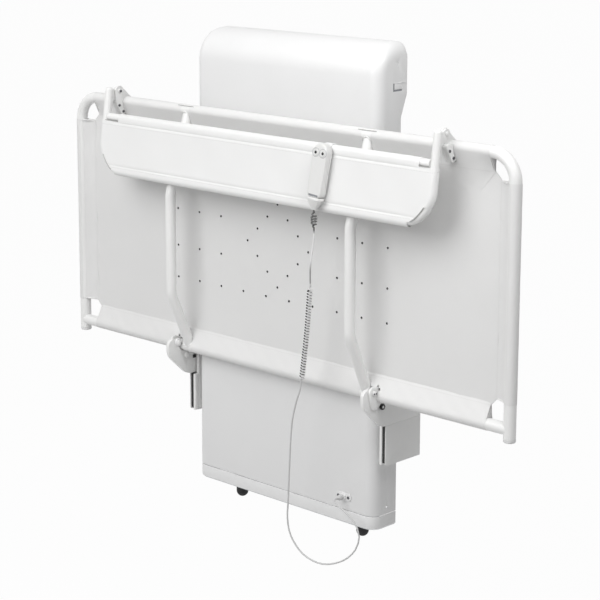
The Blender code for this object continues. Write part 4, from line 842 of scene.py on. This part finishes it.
def sleeveBand(name, length, place, tip, power, size):
    bore, shoulder = tubeWide / 2 + size["ease"], math.radians(size["shoulder"])
    foot, lip = bore * math.cos(shoulder), size["seamThick"] / 2

    def onBore(angle):
        return Vector((bore * math.cos(angle), -bore * math.sin(angle)))

    start, end = Vector((tip, size["back"] - lip)), Vector((tip, size["back"] + lip))
    hoop = [onBore(shoulder + (math.tau - 2 * shoulder) * step / 28) for step in range(29)]
    shares = [step / 8 for step in range(1, 8)]  # both layers run out into the sheet, flat where the power is over 1
    first = [Vector((foot + (tip - foot) * (1 - share), start.y + (hoop[0].y - start.y) * share ** power))
             for share in shares]
    last = [Vector((foot + (tip - foot) * share, end.y + (hoop[-1].y - end.y) * (1 - share) ** power))
            for share in shares]
    profile = [start, *first, *hoop, *last, end]
    columns, rows = max(8, round(length / size["cellLong"])), len(profile) - 1
    band = grid(name, columns, rows)
    for spot in band.data.vertices:
        along, row = spot.co.x * length / 2, cell(spot, columns, rows)[1]
        point = profile[row]
        here = min(tip, size["tipEnd"] + 1.2 * (length / 2 - abs(along)))  # the seam runs out towards the open ends
        if point.x > foot:
            point = Vector((foot + (point.x - foot) * (here - foot) / (tip - foot), point.y))
        slack = 0.25 if point.length < bore * 1.02 else 1.0
        loose = size["ripple"] * (math.sin(61 * along) + math.sin(97 * along + row)) * slack
        spot.co = (point.x, point.y + loose, along)
    modify(band, "SOLIDIFY", thickness=size["sleeveThick"], offset=-1)
    edit(band)
    outward()
    arc = [onBore(shoulder * (1 - step / 6)) for step in range(13)]
    web = [Vector((size["tipEnd"], start.y)), *arc, Vector((size["tipEnd"], end.y))]
    webs = [plate("sleeveWeb", web, size["webThick"], at(0, 0, way * (length / 2 - size["webIn"])))
            for way in (-1, 1)]  # they close the ends
    for piece in (band, *webs):
        piece.data.transform(place)
    return band, webs


def clothArea(piece, flat):  # one face of a thin closed mesh, at most the flat size
    area = sum(face.area for face in piece.data.polygons) / 2
    print("area of", piece.name, round(area, 3))
    return min(area, flat[0] * flat[1])


def buildSheet(size):
    panel = sheetPanel(size)
    middle, hole, thick = (crossbarZ + railZ) / 2, size["holeWide"] / 2, size["thick"]
    places = [at(x, bedY + size["back"], middle + z) @ forward for x, z in drainHoles(size)]
    punches = [disc("punch", size["holeWide"], size["punchDeep"], place, 18) for place in places]
    cut(panel, joined("punches", punches))
    # black rings line the wall of each drain hole and make the hole look dark
    inner, crest = hole - size["eyelet"], hole - size["eyelet"] / 2
    rim = [(inner, thick * 0.9), (crest, thick * 1.1), (hole, thick * 0.55), (hole, -thick * 0.55),
           (crest, -thick * 1.1), (inner, -thick * 0.9), (inner, thick * 0.9)]
    holeRings = [turned("eyelet", rim, place, 14) for place in places]
    settled(joined("drainEyelets", holeRings), blackRubber, "bed")
    cutX, cutRail, cutLow, cutHigh = sheetCuts(size)
    tall, centre = cutHigh - cutLow, (cutHigh + cutLow) / 2
    sleeves, closers = [], []
    for word, turn, x, z, length in (("Left", 0, -postX, centre, tall), ("Low", -90, 0, crossbarZ, 2 * cutX),
                                     ("Right", 180, postX, centre, tall), ("Rail", 90, 0, railZ, 2 * cutRail)):
        place = at(x, bedY, z) @ Matrix.Rotation(math.radians(turn), 4, "Y")
        band, webs = sleeveBand("sleeve" + word, length, place, *size["sleeves"][word], size)
        sleeves.append(band)
        closers += webs
    for side in (-1, 1):
        for index, near, far, height, drop, lift in size["notches"]:
            depths = (bedY - size["notchDeep"], bedY + size["notchDeep"])
            cut(sleeves[index], block("notch", *zip(sided(side, near, far), depths, (height - drop, height + lift))))
    # dark lines along the rail sleeve's slits: painted shadow at the slits' edges
    lean, away = math.radians(size["slitLean"]), tubeWide / 2 + size["slitOut"]
    y, z = bedY - away * math.cos(lean), railZ + away * math.sin(lean)
    edges = [tube("edge", [(side * x, y, z) for x in size["slit"]], size["slitWide"], 8) for side in (-1, 1)]
    settled(joined("sleeveSlits", edges), hemTape, "bed", slot="coated_sheet")  # painted shadow along each slit that lets an arm reach the rail
    sheet = smoothed(joined("coatedSheet", [panel, *sleeves, *closers]))
    settled(sheet, sheetCloth, "bed", "bed_sheet")
    clothArea(sheet, size["cut"])


buildSheet(sheetSettings)
print("stage: sheet made")

# guard rail: bent tube, top tube, fabric panel round both, dark lines of painted shadow along the panel's cut edges,
# and caps
guardSettings = {
    "wide": 0.025, "corner": 0.090, "legUp": 0.085, "capTall": 0.008, "panelThick": 0.0015,
    "ease": 0.0003, "sag": 0.0016, "groove": 0.0013, "seam": 0.0150, "cutWide": 0.066, "cutTall": 0.046,
    "cutFlat": 0.0126, "slotWide": {-1: 0.070, 1: 0.044}, "slotLow": 0.0105, "slotEnd": 0.008,
    "cutCurve": 1.7, "hem": 0.0030, "hemOut": 0.0020, "hemIn": 0.0016, "capSunk": 0.003, "cut": (0.44, 1.40)}


def panelRing(bore):  # once round: front layer down, under the lower tube, rear layer up, over the top tube
    flat = [0, 0.004, 0.008, 0.0105, 0.0125, 0.014, 0.015, 0.016, 0.0175, 0.0195, 0.0225, 0.027, 0.033]
    flat += [0.033 + (guardTall - 0.066) * step / 16 for step in range(1, 16)] + [guardTall - low for low in flat[::-1]]
    turns = [math.pi * step / 16 for step in range(1, 16)]
    under = [(-bore * math.cos(turn), -guardTall - bore * math.sin(turn)) for turn in turns]
    over = [(bore * math.cos(turn), bore * math.sin(turn)) for turn in turns]
    return [(-bore, -low) for low in flat] + under + [(bore, low - guardTall) for low in flat] + over


def panelBand(size):
    bore, corner = size["wide"] / 2 + size["ease"], size["corner"]
    ring = panelRing(bore)
    turns = [math.pi / 2 * step / 8 for step in range(1, 9)]
    ends = [(guardX + bore * math.sin(turn), math.cos(turn)) for turn in turns]  # drawn together round the legs
    ends[-1] = (ends[-1][0], 0.0)
    stations = [*[(-x, drawn) for x, drawn in ends[::-1]],
                *[(guardX * (step / 55 - 1), 1.0) for step in range(111)], *ends]
    columns, rows = len(stations) - 1, len(ring)
    band = grid("panelBand", columns, rows)
    for spot in band.data.vertices:
        column, row = cell(spot, columns, rows)
        (x, drawn), (y, z) = stations[column], ring[row % rows]
        share = max(0.0, min(1.0, -z / guardTall))
        loose = 1 - min(1.0, abs(x) / guardX) ** 14
        sag = size["sag"] * 4 * share * (1 - share) * (1 + 0.35 * math.sin(17 * x) + 0.25 * math.sin(41 * x + 30 * z))
        seam = sum(math.exp(-((z + low) / 0.0032) ** 2) for low in (size["seam"], guardTall - size["seam"]))
        sag += size["groove"] * seam * (1 + 0.15 * math.sin(90 * x))
        bent = min(size["cutTall"], max(0.0, -z - guardTall + corner))  # the ends follow the bend to the corner cuts
        turn = corner - math.sqrt(corner ** 2 - bent ** 2)
        x -= math.copysign(turn, x) * max(0.0, (abs(x) - guardX + 0.2) / 0.2)
        spot.co = (x, (y - math.copysign(min(sag, abs(y)) * loose, y)) * drawn, z)
    merged(band)
    # its inner skin faces inwards, so no normals are made again here
    return modify(band, "SOLIDIFY", thickness=size["panelThick"], offset=1)


def buildGuard(size):
    wide, legUp, slotLow, hem = size["wide"], size["legUp"], size["slotLow"], size["hem"]
    cutWide, cutTall, cutFlat = size["cutWide"], size["cutTall"], size["cutFlat"]
    corners = [(-guardX, 0, legUp), (-guardX, 0, -guardTall), (guardX, 0, -guardTall), (guardX, 0, legUp)]
    reach = guardX - wide / 2
    for name, path, node in (("guardTube", rounded(corners, [size["corner"]] * 2, 16), "guard_frame"),
                             ("guardTopTube", [Vector((-reach, 0, 0)), Vector((reach, 0, 0))], "guard_top_tube")):
        settled(tube(name, [guardPlace @ point for point in path], wide, 32), powderCoat, "guard", node)
    band = panelBand(size)
    past, foot, top = guardX + 2 * panelR, -guardTall - 2 * panelR, 2 * panelR
    shares = [step / 16 for step in range(17)]
    curve = [(guardX - cutFlat - (cutWide - cutFlat) * share, -guardTall + cutTall * (1 - share) ** size["cutCurve"])
             for share in shares]
    outline = [(past, foot), (past, -guardTall + cutTall), *curve, (guardX - cutWide, foot)]
    for side in (-1, 1):
        near, far = sided(side, guardX - size["slotWide"][side], past)
        cut(band, plate("cornerCut", [(side * x, z) for x, z in outline], 0.2, acrossY),
            block("tubeSlot", (near, -top, -slotLow), (far, top, top)))
    band.data.transform(guardPlace)
    settled(smoothed(merged(band)), panelCloth, "guard", "guard_panel")
    clothArea(band, size["cut"])
    shadowLines, front = [], -wide / 2 - size["hemOut"]
    for side in (-1, 1):  # a dark line round each corner cut and along the edge of each slot: painted shadow where the cloth's cut edge stands off the tube
        slot = (guardX - size["slotWide"][side], guardX - size["slotEnd"])
        lines = ([(x, front, z) for x, z in curve[:14]], [(x, front + size["hemIn"], -slotLow) for x in slot])
        shadowLines += [tube("hem", [guardPlace @ Vector((side * x, y, z)) for x, y, z in line], hem, 8) for line in lines]
    settled(joined("guardHems", shadowLines), hemTape, "guard", slot="coated_panel")
    radius, base = wide / 2, legUp - size["capSunk"]
    for side, word in bothSides:
        cap = turned("legCap" + word, [*dome(radius, size["capTall"], legUp), (radius, base), (0, base)],
                     guardPlace @ at(side * guardX, 0, 0))
        settled(cap, powderCoat, "guard", "leg_cap_" + word.lower())


buildGuard(guardSettings)
print("stage: guard made")

# handset: two shells with a joint between, dished buttons with dots and rings, a slot and a ribbed boot
handSettings = {
    "wide": 0.056, "footWide": 0.052, "long": 0.126, "thick": 0.026, "edge": 0.0055, "joint": 0.0008,
    "split": 0.12, "gasketIn": 0.0011, "buttonWide": 0.020, "buttonPitch": 0.027, "buttonGap": 0.0006,
    "wellDeep": 0.008, "proud": 0.0015, "mark": 0.0085, "ring": 0.0255, "ringThin": 0.0004,
    "bootLong": 0.035, "bootTop": 0.055, "bootEnd": 0.020, "bootFlat": 0.68,
    "slotWide": 0.036, "slotTall": 0.006, "slotUp": 0.0025, "slotDeep": 0.0038, "slotPlate": (0.0022, 0.004)}


def handOutline(size, inset):
    half, foot, low = size["wide"] / 2 - inset, size["footWide"] / 2 - inset, -size["long"] + inset
    arch = [(half * math.cos(math.pi * step / 24), half * math.sin(math.pi * step / 24)) for step in range(25)]
    tail = rounded([arch[-1], (-foot, low), (foot, low), arch[0]], [foot * 0.5, foot * 0.5], 8)
    return [*arch, *[(point.x, point.y) for point in tail[1:-1]]]


def buildHandset(size):
    thick, joint, face = size["thick"], size["joint"], -size["thick"] / 2
    pitch, meet = size["buttonPitch"] / 2, size["thick"] * size["split"]
    shells = []
    for name, low, high in (("handFront", face, meet), ("handRear", meet + joint, -face)):
        shell = plate(name, handOutline(size, 0), high - low, at(0, (low + high) / 2, 0) @ acrossY)
        outer = low if name == "handFront" else high
        edit(shell, lambda edge: all(abs(spot.co.y - outer) < mergeReach for spot in edge.verts))
        bpy.ops.mesh.bevel(offset=size["edge"], segments=6, profile=0.5, affect="EDGES", clamp_overlap=True)
        shells.append(merged(shell))
    wellWide = size["buttonWide"] + size["buttonGap"]
    wells = [disc("well", wellWide, size["wellDeep"], at(way * pitch, face, 0) @ forward, 40) for way in (-1, 1)]
    slotX, slotLow = size["slotWide"] / 2, -size["long"] + size["slotUp"]
    slotHigh = slotLow + size["slotTall"]
    cut(shells[0], *wells, block("recess", (-slotX, -thick, slotLow), (slotX, face + size["slotDeep"], slotHigh)))
    shell = smoothed(joined("handsetShells", shells), 30)
    shell.data.transform(handPlace)
    settled(shell, handsetShell, "guard", "handset")
    gasket = plate("handsetJoint", handOutline(size, size["gasketIn"]), 2 * joint,
                   handPlace @ at(0, meet + joint / 2, 0) @ acrossY)
    settled(gasket, cordSheath, "guard")
    radius, proud = size["buttonWide"] / 2, size["proud"]
    dish = [(0, proud * 0.25), (radius * 0.3, proud * 0.3), (radius * 0.55, proud * 0.6), (radius * 0.72, proud),
            (radius * 0.86, proud * 0.9), (radius * 0.95, proud * 0.5), (radius, -0.0002), (radius, -0.0018),
            (0, -0.0018)]
    for way, side in (("up", -1), ("down", 1)):
        word, body = way.title(), way + "_button"
        centre = handPlace @ at(side * pitch, face, 0) @ forward
        settled(turned("button" + word, dish, centre), handsetShell, body, "button_" + way)
        mark = disc("mark" + word, size["mark"], 0.0006, centre @ at(0, 0, proud * 0.62), 32)
        settled(bevelled(mark, 0.0002, 2), blackRubber, body)
        settled(torus("ring" + word, size["ring"] / 2, size["ringThin"], 48, 8, centre), greyPlastic, "guard")
    near, far = size["slotPlate"]
    slot = block("handsetSlot", (-slotX, face + near, slotLow), (slotX, face + far, slotHigh))
    slot.data.transform(handPlace)
    settled(slot, greyPlastic, "guard")
    top, end, low, tall = size["bootTop"] / 2, size["bootEnd"] / 2, -size["long"], size["bootLong"]
    profile = [(0, low), (top * 0.94, low), (top, low - 0.0015), (top, low - 0.2 * tall)]
    for rib in range(5):  # stepped ribs down to the cord
        share = rib / 5
        wide, high = top + (end - top) * (share + 0.12), low - tall * (0.25 + 0.75 * share)
        profile += [(wide, high), (wide * 0.97, high - 0.004), (wide * 0.86, high - 0.0042)]
    profile += [(end, low - tall), (0, low - tall)]
    boot = turned("cordBoot", profile, handPlace @ Matrix.Diagonal((1, size["bootFlat"], 1, 1)))
    settled(boot, handsetShell, "guard", "strain_relief")


buildHandset(handSettings)
print("stage: handset made")

# fittings: rail clamps with feet and screws, black blocks of painted shade in the brackets' slots and rims round the
# slots, hinge caps, bolt dots and screws
fittingSettings = {
    "screwWide": 0.0085, "screwTall": 0.0028, "clampScrews": [(-0.2582, -0.1255), (-0.2417, -0.1461)],
    "clampIn": 0.6587, "plateOut": 0.6667, "clampOut": 0.6850, "boreGap": 0.0006, "boreLong": 0.06,
    "foot": [((-0.2600, -0.1150), 0.0095), ((-0.2400, -0.1490), 0.0095), ((-0.2350, -0.1200), 0.0090)],
    "plate": [((-0.2560, -0.0800), 0.0165), ((-0.2250, -0.1175), 0.0225),
              ((-0.2600, -0.1150), 0.0095), ((-0.2400, -0.1490), 0.0095)],
    "guide": (0.3988, 0.4104), "guideY": (-0.1885, -0.1785),
    "guideZ": [(-1.0780, -0.9660), (-0.9150, -0.9050)],
    "rim": (0.3887, 0.3984), "rimY": (-0.1916, -0.1765), "rimZ": (-1.0848, -0.9660),
    "dots": 0.0046, "dotsWide": 0.0058, "dotsTall": 0.0008, "dotsOut": 0.0002,
    "capWide": 0.028, "capTall": 0.009, "hingeIn": 0.4027,
    "stop": (-0.213, -0.900), "boss": 0.0088, "bossThin": 0.0022,
    "socketScrews": [(0.238, -1.2110), (0.278, -1.2110)], "socketY": -0.2003}


def discHull(discs, steps=40):  # the tight outline round several discs
    turns = [math.tau * step / steps for step in range(steps)]
    cloud = sorted({(round(centre[0] + radius * math.cos(turn), 7), round(centre[1] + radius * math.sin(turn), 7))
                    for centre, radius in discs for turn in turns})

    def half(points):
        chain = []
        for point in points:
            while len(chain) > 1 and ((chain[-1][0] - chain[-2][0]) * (point[1] - chain[-2][1])
                                      <= (chain[-1][1] - chain[-2][1]) * (point[0] - chain[-2][0])):
                chain.pop()
            chain.append(point)
        return chain[:-1]

    return half(cloud) + half(cloud[::-1])


def screw(name, place, size):
    radius, tall = size["screwWide"] / 2, size["screwTall"]
    profile = [(0, tall * 0.3), (radius * 0.42, tall * 0.3), (radius * 0.48, tall * 0.92), (radius * 0.72, tall),
               (radius * 0.93, tall * 0.8), (radius, tall * 0.4), (radius, 0), (0, 0)]
    return turned(name, profile, place, 24)


def buildFittings(size):
    clampIn, plateOut, clampOut, radius = size["clampIn"], size["plateOut"], size["clampOut"], size["capWide"] / 2
    for side, word in bothSides:
        end = "_" + word.lower()
        boreWide, borePlace = tubeWide + size["boreGap"], alongX((side * clampOut, bedY, railZ))
        halves = (("clampFoot", size["foot"], plateOut, clampOut, []),
                  ("clampPlate", size["plate"], clampIn, plateOut, ["rail_clamp" + end]))
        for name, discs, near, far, replaced in halves:
            piece = plate(name + word, discHull(discs), far - near, at(side * (far + near) / 2, 0, 0) @ acrossX)
            cut(piece, disc("railBore", boreWide, size["boreLong"], borePlace, 40))
            settled(bevelled(piece, 0.0015, 3), powderCoat, "bed", *replaced)
        heads = [screw("head", alongX((side * x, y, z), way), size) for y, z in size["clampScrews"]
                 for x, way in ((clampOut, side), (clampIn, -side))]
        settled(joined("clampScrews" + word, heads), screwSteel, "bed")
        low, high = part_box("guard_pin" + end)
        inner = low[0] if side > 0 else high[0]
        socket = screw("pinSocket" + word, alongX((inner, guardAxis.y, guardAxis.z), -side), size)
        settled(socket, screwSteel, nodes["guard_pin" + end]["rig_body"])
        # black blocks inside each bracket's slot: painted shade in the slot
        slotShades = [block("guide", *zip(sided(side, *size["guide"]), size["guideY"], span)) for span in size["guideZ"]]
        settled(bevelled(joined("slotGuides" + word, slotShades), 0.0006, 2), blackRubber, "carriage")
        rim = block("slotRim" + word, *zip(sided(side, *size["rim"]), size["rimY"], size["rimZ"]))
        settled(bevelled(rim, 0.0025, 4), powderCoat, "carriage")
        low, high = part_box("pivot_bolt" + end)
        outer = (high[0] if side > 0 else low[0]) + side * size["dotsOut"]
        centres = [alongX((outer, pivot.y + way * size["dots"], pivot.z), side) for way in (-1, 1)]
        dots = [disc("dot", size["dotsWide"], size["dotsTall"], centre, 16) for centre in centres]
        settled(bevelled(joined("boltDots" + word, dots), 0.0002, 2), screwSteel, "bed")
        cap = turned("hingeCap" + word, [*dome(radius, size["capTall"], 0.0005), (radius, 0), (0, 0)],
                     alongX((side * size["hingeIn"], pivot.y, pivot.z), -side))
        settled(cap, shellPaint, "carriage")
        boss = torus("stopBoss" + word, size["boss"], size["bossThin"], 40, 12,
                     alongX((side * size["hingeIn"], *size["stop"]), -side))
        settled(boss, powderCoat, "carriage")
    ends = [screw("end", at(x, size["socketY"], z) @ forward, size) for x, z in size["socketScrews"]]
    settled(joined("socketScrews", ends), screwSteel, "tower")


buildFittings(fittingSettings)
print("stage: fittings made")

# the cord's plug
plugSettings = {"wide": 0.016, "long": 0.022, "pinWide": 0.010, "pinLong": 0.005, "place": (0.258, -0.2066, -1.211)}


def buildPlug(wide, long, pinWide, pinLong, place):
    radius, pin = wide / 2, pinWide / 2
    profile = [(0, long), (0.0033, long), (0.0037, long * 0.93), (radius * 0.8, long * 0.66), (radius, long * 0.55),
               (radius, long * 0.4), (radius * 0.93, long * 0.37), (radius * 0.93, long * 0.30), (radius, long * 0.27),
               (radius, long * 0.2), (radius * 0.93, long * 0.17), (radius * 0.93, long * 0.1), (radius, long * 0.07),
               (radius, 0), (pin, 0), (pin, -pinLong), (0, -pinLong)]
    settled(turned("cordPlug", profile, at(*place) @ forward), cordSheath, "tower", "cord_plug", slot="grey_plastic")


buildPlug(**plugSettings)
print("stage: plug made")

# every other node: its own mesh with the seams merged and the edges broken, by this much for each slot
dressSettings = {
    "white_powder_coat": 0.0012, "white_moulded_shell": 0.0010, "zinc_plated_steel": 0.0008,
    "black_rubber": 0.0010, "grey_plastic": 0.0012}


def dressed(name, edges):
    node = nodes[name]
    slot = node.data.materials[0].name.split(".")[0]
    choose(node)
    bpy.ops.object.duplicate()
    piece = bpy.context.object
    body = piece["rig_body"]
    for key in list(piece.keys()):
        del piece[key]
    piece.parent = None
    piece.matrix_world = upright
    piece.name = name.title().replace("_", "") + "Dressed"
    merged(piece)
    edit(piece)
    bpy.ops.mesh.dissolve_limited(angle_limit=math.radians(0.5))
    bevelled(piece, edges[slot], 2)
    finish = powderCoat if name.startswith("guard_pin") else slotFinish[slot]
    settled(piece, finish, body, name, slot=slot)


for name in sorted(nodes):
    if not nodes[name].hide_render:
        dressed(name, dressSettings)
print("stage: remaining nodes dressed")
